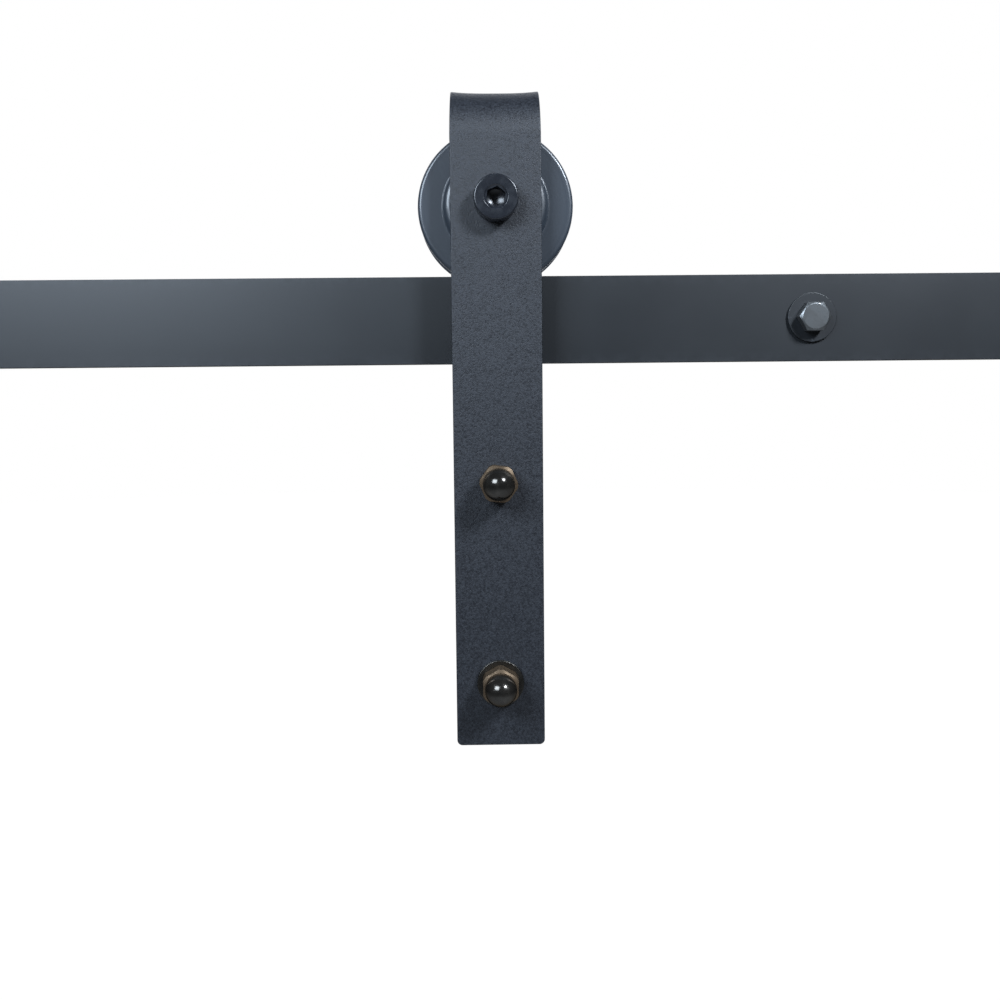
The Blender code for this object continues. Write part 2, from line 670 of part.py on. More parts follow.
def make_axle(centre):
    add_piece("axle_bolt", axle_bolt_mesh(), black_oxide, (0, 0, 0), TO_FRONT, centre)
    bush_low = BEARING_HALF_WIDTH + GAP
    bush_high = STRAP_INNER_HALF_GAP - GAP
    bore = AXLE_SHANK_RADIUS + GAP
    bush = ring_mesh(bore, BUSH_RADIUS, bush_low, bush_high, BUSH_CHAMFER)
    add_piece("axle_bush_front", bush, dull_zinc, (0, 0, 0), TO_FRONT, centre)
    add_piece("axle_bush_rear", bush, dull_zinc, (0, 0, 0), (-pi / 2, 0, 0), centre)
    washer_y = STRAP_OUTER_HALF_GAP + GAP
    washer = ring_mesh(bore, AXLE_WASHER_RADIUS, 0, AXLE_WASHER_THICKNESS, WASHER_CHAMFER)
    add_piece("axle_washer", washer, dull_zinc, (0, washer_y, 0), (-pi / 2, 0, 0), centre)
    nut_y = washer_y + AXLE_WASHER_THICKNESS + GAP
    add_piece("axle_lock_nut", lock_nut_mesh(), dull_zinc, (0, nut_y, 0), (-pi / 2, 0, 0), centre)


def acorn_nut_mesh(turn):
    """A high-crown acorn nut along Z from its seat, its corners turned by the given angle."""
    dome_centre = DOOR_NUT_HEIGHT - DOOR_NUT_DOME_RADIUS
    dome = arc(0, dome_centre, DOOR_NUT_DOME_RADIUS, 90, 0, 5)
    dome += [(DOOR_NUT_DOME_RADIUS, 0.002), (0, 0.002)]
    head, cone = chamfered_hexagon(
        DOOR_NUT_ACROSS_FLATS, 0, DOOR_NUT_HEX_HEIGHT, turn, DOOR_NUT_TOP_CUT, bottom_cut=0
    )
    dome_tool = turned_object(dome, ROUND_STEPS, ring=False)
    bore = rod_tool(DOOR_BOLT_RADIUS + GAP, -OVERSHOOT, DOOR_NUT_BORE_DEPTH)
    boolean(head, dome_tool, "UNION")
    boolean(head, bore, "DIFFERENCE")
    return finished(head, cone, dome_tool, bore)


def door_bolt_mesh(tip):
    """A hex bolt that enters from behind the door; its head's seat is at the origin, tip along +Z."""
    radius = DOOR_BOLT_RADIUS
    thread_low = tip - DOOR_THREAD_LENGTH
    profile = [(0, tip), (radius - 0.001, tip)]
    profile += thread(radius, DOOR_THREAD_DEPTH, tip - 0.001, thread_low, DOOR_THREAD_PITCH)
    profile += [(radius, -OVERSHOOT), (0, -OVERSHOOT)]
    shank = turned_object(profile, SMALL_STEPS, ring=False)
    head, cone = chamfered_hexagon(
        DOOR_HEAD_ACROSS_FLATS, -DOOR_HEAD_HEIGHT, 0, radians(30), 0, HEAD_CORNER_CUT
    )
    boolean(head, shank, "UNION")
    return finished(head, cone, shank)


def make_door_fixings(centre):
    """Hex bolts through the door and the strap, closed in front by acorn nuts."""
    bore = DOOR_BOLT_RADIUS + GAP
    washer = ring_mesh(bore, DOOR_WASHER_RADIUS, 0, WASHER_THICKNESS, WASHER_CHAMFER)
    back_washer = ring_mesh(bore, BACK_WASHER_RADIUS, 0, WASHER_THICKNESS, WASHER_CHAMFER)
    back_washer_y = DOOR_THICKNESS + GAP + WASHER_THICKNESS - STRAP_INNER_HALF_GAP
    head_y = back_washer_y + GAP
    front_y = -STRAP_OUTER_HALF_GAP - GAP
    for name, drop, has_washer, turn in (
        ("upper", UPPER_BOLT_DROP, False, radians(UPPER_NUT_TURN)),
        ("lower", LOWER_BOLT_DROP, True, 0),
    ):
        nut_y = front_y
        if has_washer:
            place = (0, front_y, -drop)
            add_piece("door_washer_" + name, washer, black_nickel, place, TO_FRONT, centre)
            nut_y = front_y - WASHER_THICKNESS - GAP
        nut = acorn_nut_mesh(turn)
        add_piece("acorn_nut_" + name, nut, black_nickel, (0, nut_y, -drop), TO_FRONT, centre)
        tip = head_y - nut_y + DOOR_BOLT_IN_NUT
        bolt = door_bolt_mesh(tip)
        add_piece("door_bolt_" + name, bolt, black_nickel, (0, head_y, -drop), TO_FRONT, centre)
        place = (0, back_washer_y, -drop)
        add_piece("door_back_washer_" + name, back_washer, black_nickel, place, TO_FRONT, centre)


make_track()
make_wall_fixings()
make_end_stops()
centre = axle_centre()
add_piece("hanger_strap", strap_mesh(), strap_coat, (0, 0, 0), parent=centre)
add_piece("wheel", wheel_mesh(), wheel_coat, (0, 0, 0), TO_FRONT, centre)
make_bearing(centre)
make_axle(centre)
make_door_fixings(centre)
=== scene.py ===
import json
import math

import bmesh
import bpy
from mathutils import Matrix, Vector


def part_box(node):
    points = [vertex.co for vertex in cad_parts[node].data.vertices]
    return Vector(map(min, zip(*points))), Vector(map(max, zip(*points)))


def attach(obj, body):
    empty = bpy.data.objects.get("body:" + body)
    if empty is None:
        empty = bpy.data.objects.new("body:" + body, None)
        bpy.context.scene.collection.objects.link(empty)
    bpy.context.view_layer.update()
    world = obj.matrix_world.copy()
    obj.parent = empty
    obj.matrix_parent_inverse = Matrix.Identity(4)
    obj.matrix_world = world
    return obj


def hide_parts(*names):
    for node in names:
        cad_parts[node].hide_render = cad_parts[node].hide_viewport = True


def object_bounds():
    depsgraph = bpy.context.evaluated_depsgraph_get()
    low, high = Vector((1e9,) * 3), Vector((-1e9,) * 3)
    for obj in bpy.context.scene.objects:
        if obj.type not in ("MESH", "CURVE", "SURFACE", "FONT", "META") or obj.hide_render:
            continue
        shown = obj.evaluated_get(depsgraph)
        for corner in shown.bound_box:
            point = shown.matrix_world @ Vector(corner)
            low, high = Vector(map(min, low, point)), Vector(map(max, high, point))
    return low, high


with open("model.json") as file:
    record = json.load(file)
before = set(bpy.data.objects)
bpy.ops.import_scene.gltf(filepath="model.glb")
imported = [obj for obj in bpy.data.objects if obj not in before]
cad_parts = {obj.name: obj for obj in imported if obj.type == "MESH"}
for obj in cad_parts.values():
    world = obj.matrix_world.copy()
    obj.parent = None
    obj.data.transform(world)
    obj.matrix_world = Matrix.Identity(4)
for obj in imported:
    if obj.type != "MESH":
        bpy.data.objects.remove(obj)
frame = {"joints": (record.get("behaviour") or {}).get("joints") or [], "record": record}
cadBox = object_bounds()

# Places and owners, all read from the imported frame
bodies = frame["record"]["behaviour"]["bodies"]
bodyOf = {node: body for body, nodes in bodies.items() for node in nodes}
joints = {joint["name"]: joint for joint in frame["joints"]}
axle = Vector(joints["wheel_spin"]["pos_m"])
toFront = (math.pi / 2, 0, 0)   # local Z of a turned piece points into the room
toBack = (-math.pi / 2, 0, 0)
mergeDistance = 0.00001
cutterExcess = 0.001    # a cutter stands this far out of what it cuts
throughLength = 0.03    # of a cutter that goes right through a bar
smoothAngle = 50        # degrees, of a turned or bent piece
sharpAngle = 30         # degrees, of a piece with hexagons
chamferAngle = math.radians(30)
chamferSpread = 1.9     # how far a chamfer goes in from the corners, for its cut


# Small tools for modelling

def leaveEditing():
    bpy.ops.object.mode_set(mode="OBJECT")


def selectShape():
    bpy.ops.mesh.select_all(action="SELECT")


def deselectAll():
    if bpy.context.object and bpy.context.object.mode != "OBJECT":
        leaveEditing()
    bpy.ops.object.select_all(action="DESELECT")


def startPiece(name):
    piece = bpy.context.object
    piece.name = name
    piece.data.name = name
    bpy.ops.object.transform_apply(location=True, rotation=True, scale=True)
    bpy.ops.object.mode_set(mode="EDIT")
    return piece


def pick(kind, test):
    # selects what passes the test: a vertex by place, an edge by middle and
    # direction, a face by middle and normal
    bpy.ops.mesh.select_mode(type=kind)
    bpy.ops.mesh.select_all(action="DESELECT")
    mesh = bpy.context.object.data
    shape = bmesh.from_edit_mesh(mesh)
    if kind == "VERT":
        for vert in shape.verts:
            if test(vert.co):
                vert.select_set(True)
    elif kind == "EDGE":
        for edge in shape.edges:
            first, second = (vert.co for vert in edge.verts)
            if test((first + second) / 2, (second - first).normalized()):
                edge.select_set(True)
    else:
        for face in shape.faces:
            if test(face.calc_center_median(), face.normal):
                face.select_set(True)
    bmesh.update_edit_mesh(mesh)


def closeTo(value, target, margin=0.00005):
    return abs(value - target) < margin


def drawOutline(name, outline, closed, rounding):
    # one vertex is kept of a plane, and the outline is drawn from it in the XZ plane
    deselectAll()
    bpy.ops.mesh.primitive_plane_add(size=0.002)
    piece = startPiece(name)
    bpy.ops.mesh.select_mode(type="VERT")
    selectShape()
    bpy.ops.mesh.merge(type="CENTER")
    bpy.ops.transform.translate(value=(outline[0][0], 0, outline[0][1]))
    for here, there in zip(outline, outline[1:]):
        step = (there[0] - here[0], 0, there[1] - here[1])
        bpy.ops.mesh.extrude_region_move(TRANSFORM_OT_translate={"value": step})
    if closed:
        ends = (Vector((outline[0][0], 0, outline[0][1])), Vector((outline[-1][0], 0, outline[-1][1])))
        pick("VERT", lambda co: any((co - end).length < mergeDistance for end in ends))
        bpy.ops.mesh.edge_face_add()
    for index, offset, segments in rounding:
        corner = Vector((outline[index][0], 0, outline[index][1]))
        pick("VERT", lambda co: (co - corner).length < mergeDistance)
        bpy.ops.mesh.bevel(offset=offset, segments=segments, affect="VERTICES")
    return piece


def latheTurn(name, outline, rounding=(), steps=96, closed=False):
    # an outline of (radius, height) points, spun round Z
    piece = drawOutline(name, outline, closed, rounding)
    selectShape()
    bpy.ops.mesh.spin(steps=steps, angle=math.tau, center=(0, 0, 0), axis=(0, 0, 1))
    selectShape()
    bpy.ops.mesh.remove_doubles(threshold=mergeDistance)
    bpy.ops.mesh.normals_make_consistent(inside=False)
    leaveEditing()
    return piece


def tubeTurn(name, inner, outer, low, high, edge, steps=96, segments=3):
    outline = [(inner, high), (outer, high), (outer, low), (inner, low)]
    rounding = [(index, edge, segments) for index in (1, 2)]
    rounding += [(index, edge * 0.6, 2) for index in (0, 3)]
    return latheTurn(name, outline, rounding, steps, closed=True)


def makeBlock(name, low, high):
    deselectAll()
    bpy.ops.mesh.primitive_cube_add(size=1, location=(low + high) / 2, scale=high - low)
    block = startPiece(name)
    leaveEditing()
    return block


def hexBar(name, acrossFlats, low, high, turn):
    # corners up at a turn of 0, flats up at 30 degrees
    deselectAll()
    corner = acrossFlats / math.sqrt(3)
    middle = (0, 0, (low + high) / 2)
    bpy.ops.mesh.primitive_cylinder_add(
        vertices=6, radius=corner, depth=high - low, location=middle, rotation=(0, 0, turn)
    )
    bar = startPiece(name)
    leaveEditing()
    return bar


def useBoolean(piece, tool, operation):
    deselectAll()
    bpy.context.view_layer.objects.active = piece
    cut = piece.modifiers.new("cut", "BOOLEAN")
    cut.operation = operation
    cut.solver = "EXACT"
    cut.object = tool
    bpy.ops.object.modifier_apply(modifier=cut.name)
    bpy.data.objects.remove(tool)


def roundEdges(piece, width, segments=3, limit=35):
    deselectAll()
    bpy.context.view_layer.objects.active = piece
    bevel = piece.modifiers.new("roundEdges", "BEVEL")
    bevel.width = width
    bevel.segments = segments
    bevel.limit_method = "ANGLE"
    bevel.angle_limit = math.radians(limit)
    bevel.miter_outer = "MITER_ARC"
    bpy.ops.object.modifier_apply(modifier=bevel.name)


def cutRoundHole(piece, radius, place, turn, length, steps=64):
    deselectAll()
    bpy.ops.mesh.primitive_cylinder_add(
        vertices=steps, radius=radius, depth=length, location=place, rotation=turn
    )
    useBoolean(piece, bpy.context.object, "DIFFERENCE")


def copyPiece(piece, name):
    twin = piece.copy()
    twin.data = piece.data.copy()
    twin.name = name
    twin.data.name = name
    bpy.context.scene.collection.objects.link(twin)
    return twin


def finishPiece(piece, place=(0, 0, 0), turn=(0, 0, 0), smoothTo=smoothAngle):
    # the place goes into the mesh, and flat faces keep flat shading beside round edges
    deselectAll()
    piece.select_set(True)
    bpy.context.view_layer.objects.active = piece
    piece.location = place
    piece.rotation_euler = turn
    bpy.ops.object.transform_apply(location=True, rotation=True, scale=True)
    bpy.ops.object.mode_set(mode="EDIT")
    selectShape()
    bpy.ops.mesh.remove_doubles(threshold=mergeDistance / 10)
    leaveEditing()
    bpy.ops.object.shade_smooth_by_angle(angle=math.radians(smoothTo))
    weigh = piece.modifiers.new("flatFaces", "WEIGHTED_NORMAL")
    weigh.keep_sharp = True
    bpy.ops.object.modifier_apply(modifier=weigh.name)
    return piece


def standFor(piece, node, material):
    # the piece takes over from a CAD node, on its body and in its slot
    piece.data.materials.clear()
    piece.data.materials.append(material)
    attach(piece, bodyOf[node])
    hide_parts(node)


def middleOf(node):
    low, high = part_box(node)
    return (low + high) / 2


def placeAt(node, depth):
    # the middle of a node's box, at a given Y
    place = middleOf(node)
    place.y = depth
    return place


def standPair(piece, twinName, nodes, depth, material, smoothTo=smoothAngle):
    # the piece stands on the left, and its copy on the right
    twin = copyPiece(piece, twinName)
    for part, side in ((piece, "left"), (twin, "right")):
        place = placeAt(nodes + side, depth)
        standFor(finishPiece(part, place, toFront, smoothTo), nodes + side, material)


# Shader groups

def newGroup(name, inputs, outputs):
    group = bpy.data.node_groups.new(name, "ShaderNodeTree")
    for label, kind, value in inputs:
        socket = group.interface.new_socket(name=label, in_out="INPUT", socket_type=kind)
        if value is not None:
            socket.default_value = value
    for label, kind in outputs:
        group.interface.new_socket(name=label, in_out="OUTPUT", socket_type=kind)
    start = group.nodes.new("NodeGroupInput")
    end = group.nodes.new("NodeGroupOutput")
    return group, start, end


def connect(tree, socket, value):
    # a number is set on the socket, and an output is linked to it
    if isinstance(value, (int, float)):
        socket.default_value = value
    elif value is not None:
        tree.links.new(value, socket)


def addNoise(tree, vector, scale, detail, roughness=0.5):
    noise = tree.nodes.new("ShaderNodeTexNoise")
    for label, value in (
        ("Vector", vector), ("Scale", scale), ("Detail", detail), ("Roughness", roughness)
    ):
        connect(tree, noise.inputs[label], value)
    return noise.outputs["Fac"]


def addMath(tree, operation, first, second=None, clamp=False):
    node = tree.nodes.new("ShaderNodeMath")
    node.operation = operation
    node.use_clamp = clamp
    for socket, value in zip(node.inputs, (first, second)):
        connect(tree, socket, value)
    return node.outputs["Value"]


def addRange(tree, value, fromLow, fromHigh, toLow=0.0, toHigh=1.0):
    node = tree.nodes.new("ShaderNodeMapRange")
    for label, number in (
        ("Value", value), ("From Min", fromLow), ("From Max", fromHigh),
        ("To Min", toLow), ("To Max", toHigh),
    ):
        connect(tree, node.inputs[label], number)
    return node.outputs["Result"]


def makeSandGroup():
    # the fine grain of a textured powder coat: height, and how light each grain is
    group, start, end = newGroup(
        "sandTexture",
        [("Vector", "NodeSocketVector", None), ("Grains per metre", "NodeSocketFloat", 1500.0)],
        [("Height", "NodeSocketFloat"), ("Speckle", "NodeSocketFloat")],
    )
    grains = group.nodes.new("ShaderNodeTexVoronoi")
    grains.feature = "SMOOTH_F1"
    grains.inputs["Smoothness"].default_value = 0.6
    group.links.new(start.outputs["Vector"], grains.inputs["Vector"])
    group.links.new(start.outputs["Grains per metre"], grains.inputs["Scale"])
    halfScale = addMath(group, "MULTIPLY", start.outputs["Grains per metre"], 0.55)
    fine = addNoise(group, start.outputs["Vector"], halfScale, 2.0, 0.6)
    bumps = addMath(group, "SUBTRACT", 1.0, grains.outputs["Distance"])
    height = addMath(group, "ADD", addMath(group, "MULTIPLY", bumps, 0.6), fine)
    group.links.new(height, end.inputs["Height"])
    group.links.new(addRange(group, fine, 0.34, 0.68), end.inputs["Speckle"])
    return group


def makePeelGroup():
    # the long, shallow waves of a smooth powder coat
    group, start, end = newGroup(
        "orangePeel",
        [("Vector", "NodeSocketVector", None)],
        [("Height", "NodeSocketFloat"), ("Shade", "NodeSocketFloat")],
    )
    waves = addNoise(group, start.outputs["Vector"], 420.0, 1.5)
    clouds = addNoise(group, start.outputs["Vector"], 28.0, 3.0)
    group.links.new(waves, end.inputs["Height"])
    group.links.new(addRange(group, clouds, 0.3, 0.7), end.inputs["Shade"])
    return group


def makeLighterEdgeGroup():
    # a lighter colour where an edge is convex, broken up by noise
    group, start, end = newGroup(
        "lighterEdges",
        [("Vector", "NodeSocketVector", None), ("From", "NodeSocketFloat", 0.52),
         ("To", "NodeSocketFloat", 0.6)],
        [("Mask", "NodeSocketFloat")],
    )
    shape = group.nodes.new("ShaderNodeNewGeometry")
    edge = addRange(
        group, shape.outputs["Pointiness"], start.outputs["From"], start.outputs["To"]
    )
    patches = addRange(group, addNoise(group, start.outputs["Vector"], 240.0, 3.0), 0.38, 0.62)
    group.links.new(addMath(group, "MULTIPLY", edge, patches, clamp=True), end.inputs["Mask"])
    return group


def makeDustAndSheenGroup():
    # fine dust that has settled on what faces up, and on the track mostly a painted highlight of light
    # from above on its upward faces and top edge
    group, start, end = newGroup(
        "dustAndTopSheen",
        [("Vector", "NodeSocketVector", None), ("Amount", "NodeSocketFloat", 0.3)],
        [("Mask", "NodeSocketFloat")],
    )
    shape = group.nodes.new("ShaderNodeNewGeometry")
    split = group.nodes.new("ShaderNodeSeparateXYZ")
    group.links.new(shape.outputs["Normal"], split.inputs["Vector"])
    upward = addRange(group, split.outputs["Z"], 0.2, 0.8)
    patches = addRange(group, addNoise(group, start.outputs["Vector"], 320.0, 4.0, 0.65), 0.3, 0.7)
    mask = addMath(group, "MULTIPLY", upward, patches)
    mask = addMath(group, "MULTIPLY", mask, start.outputs["Amount"], clamp=True)
    group.links.new(mask, end.inputs["Mask"])
    return group


def makeRingsGroup():
    # fine concentric lines of turned metal; the vector comes centred, with Y along the axis
    group, start, end = newGroup(
        "turnedRings",
        [("Vector", "NodeSocketVector", None), ("Lines per metre", "NodeSocketFloat", 2500.0)],
        [("Height", "NodeSocketFloat"), ("Shade", "NodeSocketFloat")],
    )
    split = group.nodes.new("ShaderNodeSeparateXYZ")
    group.links.new(start.outputs["Vector"], split.inputs["Vector"])
    across = addMath(group, "MULTIPLY", split.outputs["X"], split.outputs["X"])
    upward = addMath(group, "MULTIPLY", split.outputs["Z"], split.outputs["Z"])
    radius = addMath(group, "SQRT", addMath(group, "ADD", across, upward))
    alongEdge = addMath(group, "MULTIPLY", split.outputs["Y"], 0.83)
    place = addMath(group, "ADD", radius, alongEdge)
    lines = group.nodes.new("ShaderNodeTexNoise")
    lines.noise_dimensions = "1D"
    lines.inputs["Detail"].default_value = 3.0
    group.links.new(place, lines.inputs["W"])
    group.links.new(start.outputs["Lines per metre"], lines.inputs["Scale"])
    group.links.new(lines.outputs["Fac"], end.inputs["Height"])
    group.links.new(addRange(group, lines.outputs["Fac"], 0.3, 0.7), end.inputs["Shade"])
    return group


def makeSmudgeGroup():
    # faint handling marks on a glossy plated or oxided face
    group, start, end = newGroup(
        "handlingMarks",
        [("Vector", "NodeSocketVector", None)],
        [("Mask", "NodeSocketFloat"), ("Height", "NodeSocketFloat")],
    )
    patches = addRange(group, addNoise(group, start.outputs["Vector"], 190.0, 4.0, 0.6), 0.42, 0.7)
    pits = addNoise(group, start.outputs["Vector"], 1400.0, 2.0)
    group.links.new(patches, end.inputs["Mask"])
    group.links.new(pits, end.inputs["Height"])
    return group


groups = {
    "sand": makeSandGroup(),
    "peel": makePeelGroup(),
    "lighterEdge": makeLighterEdgeGroup(),
    "dustAndSheen": makeDustAndSheenGroup(),
    "rings": makeRingsGroup(),
    "smudge": makeSmudgeGroup(),
}
print("shader groups made:", len(groups))


# Materials

class Finish:
    # a new material with its settings, Principled shader and object coordinates at hand
    def __init__(self, name, setting):
        self.setting = setting
        self.material = bpy.data.materials.new(name)
        self.material.use_nodes = True
        self.tree = self.material.node_tree
        self.shader = self.tree.nodes["Principled BSDF"]
        coordinates = self.tree.nodes.new("ShaderNodeTexCoord")
        self.place = coordinates.outputs["Object"]

    def useGroup(self, key, vector=None, **values):
        node = self.tree.nodes.new("ShaderNodeGroup")
        node.node_tree = groups[key]
        self.tree.links.new(vector or self.place, node.inputs["Vector"])
        for label, value in values.items():
            node.inputs[label.replace("_", " ")].default_value = value
        return node

    def centred(self, centre):
        mapping = self.tree.nodes.new("ShaderNodeMapping")
        mapping.inputs["Location"].default_value = [-value for value in centre]
        self.tree.links.new(self.place, mapping.inputs["Vector"])
        return mapping.outputs["Vector"]

    def mixColor(self, factor, first, second):
        node = self.tree.nodes.new("ShaderNodeMix")
        node.data_type = "RGBA"
        self.tree.links.new(factor, node.inputs["Factor"])
        for label, value in (("A", first), ("B", second)):
            socket = [s for s in node.inputs if s.name == label and s.type == "RGBA"][0]
            if isinstance(value, tuple):
                socket.default_value = (*value, 1.0)
            else:
                self.tree.links.new(value, socket)
        return [s for s in node.outputs if s.type == "RGBA"][0]

    def ramp(self, value, low, high):
        return addRange(self.tree, value, 0.0, 1.0, low, high)

    def bump(self, height, distance, strength, under=None):
        node = self.tree.nodes.new("ShaderNodeBump")
        node.inputs["Distance"].default_value = distance
        node.inputs["Strength"].default_value = strength
        self.tree.links.new(height, node.inputs["Height"])
        connect(self.tree, node.inputs["Normal"], under)
        return node.outputs["Normal"]

    def feed(self, label, value):
        if isinstance(value, tuple):
            self.shader.inputs[label].default_value = (*value, 1.0)
        else:
            connect(self.tree, self.shader.inputs[label], value)

    # the settings that most finishes have: dark to light, lighter edges, dust and painted top sheen,
    # roughness

    def tone(self, shade):
        return self.mixColor(shade, self.setting["dark"], self.setting["light"])

    def lightenEdges(self, color):
        fromCurve, toCurve, share = self.setting["lighterEdge"]
        lighterEdge = self.useGroup("lighterEdge", From=fromCurve, To=toCurve)
        return self.mixColor(self.ramp(lighterEdge.outputs["Mask"], 0.0, share), color, self.setting["edge"])

    # lighter on upward faces: dust, and on the track a painted highlight of light from above
    def addDustAndSheen(self, color):
        dustAndSheen = self.useGroup("dustAndSheen", Amount=self.setting["dustAndSheenAmount"])
        return self.mixColor(dustAndSheen.outputs["Mask"], color, self.setting["dustAndSheen"])

    def roughBy(self, shade):
        self.feed("Roughness", self.ramp(shade, *self.setting["roughness"]))


# each lighter edge is the curvature where it starts and where it is full, and its share of the colour;
# each bump is its depth in metres and its strength
strapFinish = {
    "dark": (0.0105, 0.0125, 0.018), "light": (0.0235, 0.029, 0.0405), "edge": (0.05, 0.056, 0.068),
    "dustAndSheen": (0.10, 0.105, 0.11), "dustAndSheenAmount": 0.08, "roughness": (0.42, 0.62), "gloss": 1.0,
    "lighterEdge": (0.515, 0.56, 0.6), "grains": 2100.0, "grain": (0.00012, 0.8), "waves": (0.00002, 0.25),
}


def makeStrapCoat():
    finish = Finish("sandedPowderCoat", strapFinish)
    sand = finish.useGroup("sand", Grains_per_metre=strapFinish["grains"])
    peel = finish.useGroup("peel")
    color = finish.lightenEdges(finish.tone(sand.outputs["Speckle"]))
    finish.feed("Base Color", finish.addDustAndSheen(color))
    finish.roughBy(sand.outputs["Speckle"])
    waves = finish.bump(peel.outputs["Height"], *strapFinish["waves"])
    finish.feed("Normal", finish.bump(sand.outputs["Height"], *strapFinish["grain"], waves))
    finish.feed("Specular IOR Level", strapFinish["gloss"])
    return finish.material


# on the bar the dust colour is mostly a painted highlight: light from above on its upward faces and top
# edge
trackFinish = {
    "dark": (0.0105, 0.0135, 0.0175), "light": (0.0125, 0.016, 0.020), "edge": (0.085, 0.095, 0.11),
    "dustAndSheen": (0.2, 0.2, 0.2), "dustAndSheenAmount": 0.5, "roughness": (0.41, 0.43), "gloss": 0.95,
    "lighterEdge": (0.54, 0.6, 0.5), "waves": (0.000008, 0.25),
}


def makeTrackCoat():
    finish = Finish("smoothPowderCoat", trackFinish)
    peel = finish.useGroup("peel")
    color = finish.lightenEdges(finish.tone(peel.outputs["Shade"]))
    finish.feed("Base Color", finish.addDustAndSheen(color))
    finish.roughBy(peel.outputs["Shade"])
    finish.feed("Normal", finish.bump(peel.outputs["Height"], *trackFinish["waves"]))
    finish.feed("Specular IOR Level", trackFinish["gloss"])
    return finish.material


wheelFinish = {
    "dark": (0.042, 0.055, 0.074), "light": (0.048, 0.063, 0.083), "edge": (0.065, 0.072, 0.084),
    "roughness": (0.38, 0.45), "gloss": 1.0, "coat": 0.8, "coatRoughness": 0.17,
    "lighterEdge": (0.53, 0.62, 0.4), "lines": 900.0, "line": (0.000006, 0.3), "waves": (0.00003, 0.25),
}


def makeWheelCoat():
    finish = Finish("satinCoatOnTurnedSteel", wheelFinish)
    rings = finish.useGroup("rings", finish.centred(axle), Lines_per_metre=wheelFinish["lines"])
    peel = finish.useGroup("peel")
    finish.feed("Base Color", finish.lightenEdges(finish.tone(peel.outputs["Shade"])))
    finish.roughBy(rings.outputs["Shade"])
    waves = finish.bump(peel.outputs["Height"], *wheelFinish["waves"])
    finish.feed("Normal", finish.bump(rings.outputs["Height"], *wheelFinish["line"], waves))
    finish.feed("Specular IOR Level", wheelFinish["gloss"])
    finish.feed("Coat Weight", wheelFinish["coat"])
    finish.feed("Coat Roughness", wheelFinish["coatRoughness"])
    return finish.material


oxideFinish = {
    "dark": (0.016, 0.019, 0.026), "light": (0.024, 0.028, 0.036), "edge": (0.07, 0.074, 0.085),
    "roughness": (0.24, 0.32), "gloss": 1.0, "lighterEdge": (0.54, 0.64, 0.35), "pits": (0.000008, 0.3),
}


def makeBlackOxide():
    finish = Finish("oiledBlackOxide", oxideFinish)
    smudge = finish.useGroup("smudge")
    finish.feed("Base Color", finish.lightenEdges(finish.tone(smudge.outputs["Mask"])))
    finish.roughBy(smudge.outputs["Mask"])
    finish.feed("Normal", finish.bump(smudge.outputs["Height"], *oxideFinish["pits"]))
    finish.feed("Specular IOR Level", oxideFinish["gloss"])
    return finish.material


# the satin colour and the grazing tint are a painted reflection of a wooden board, brown on the hexagons
# and on the ring at the foot of each dome
nickelFinish = {
    "dark": (0.11, 0.103, 0.094), "light": (0.17, 0.158, 0.14), "paintedGrazingReflection": (0.5, 0.41, 0.31),
    "satinPaintedReflection": (0.18, 0.130, 0.086), "roughness": (0.15, 0.26), "satinRoughness": 0.42,
    "satinMetal": 0.5, "metal": 0.88, "pits": (0.000004, 0.25),
    "polishFrom": 0.0102, "polishTo": 0.0126,   # heights above the foot of the lower nut
}


def makeNutNickel():
    # satin hexagons, and domes that are polished above a satin ring; the brown colour of the satin parts
    # and the warm grazing tint are a painted reflection of a wooden board
    finish = Finish("blackNickelNut", nickelFinish)
    smudge = finish.useGroup("smudge")
    split = finish.tree.nodes.new("ShaderNodeSeparateXYZ")
    finish.tree.links.new(finish.place, split.inputs["Vector"])
    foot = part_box("acorn_nut_lower")[1].y
    polished = addRange(
        finish.tree, split.outputs["Y"],
        foot - nickelFinish["polishFrom"], foot - nickelFinish["polishTo"],
    )
    dome = finish.tone(smudge.outputs["Mask"])
    finish.feed("Base Color", finish.mixColor(polished, nickelFinish["satinPaintedReflection"], dome))
    shine = finish.ramp(smudge.outputs["Mask"], *nickelFinish["roughness"])
    finish.feed("Roughness", finish.ramp(polished, nickelFinish["satinRoughness"], shine))
    finish.feed("Normal", finish.bump(smudge.outputs["Height"], *nickelFinish["pits"]))
    finish.feed("Metallic", finish.ramp(polished, nickelFinish["satinMetal"], nickelFinish["metal"]))
    finish.feed("Specular Tint", nickelFinish["paintedGrazingReflection"])
    return finish.material


plateFinish = {
    "dark": (0.12, 0.115, 0.105), "light": (0.17, 0.162, 0.148), "roughness": (0.34, 0.42),
    "pits": (0.000004, 0.25),
}


def makePlateNickel():
    finish = Finish("blackNickelPlate", plateFinish)
    smudge = finish.useGroup("smudge")
    finish.feed("Base Color", finish.tone(smudge.outputs["Mask"]))
    finish.roughBy(smudge.outputs["Mask"])
    finish.feed("Normal", finish.bump(smudge.outputs["Height"], *plateFinish["pits"]))
    finish.feed("Metallic", 1.0)
    return finish.material


zincFinish = {
    "dark": (0.27, 0.28, 0.285), "light": (0.15, 0.16, 0.165), "edge": (0.5, 0.5, 0.5),
    "roughness": (0.34, 0.5), "metal": 0.85, "lighterEdge": (0.53, 0.62, 1.0), "pits": (0.00002, 0.5),
}


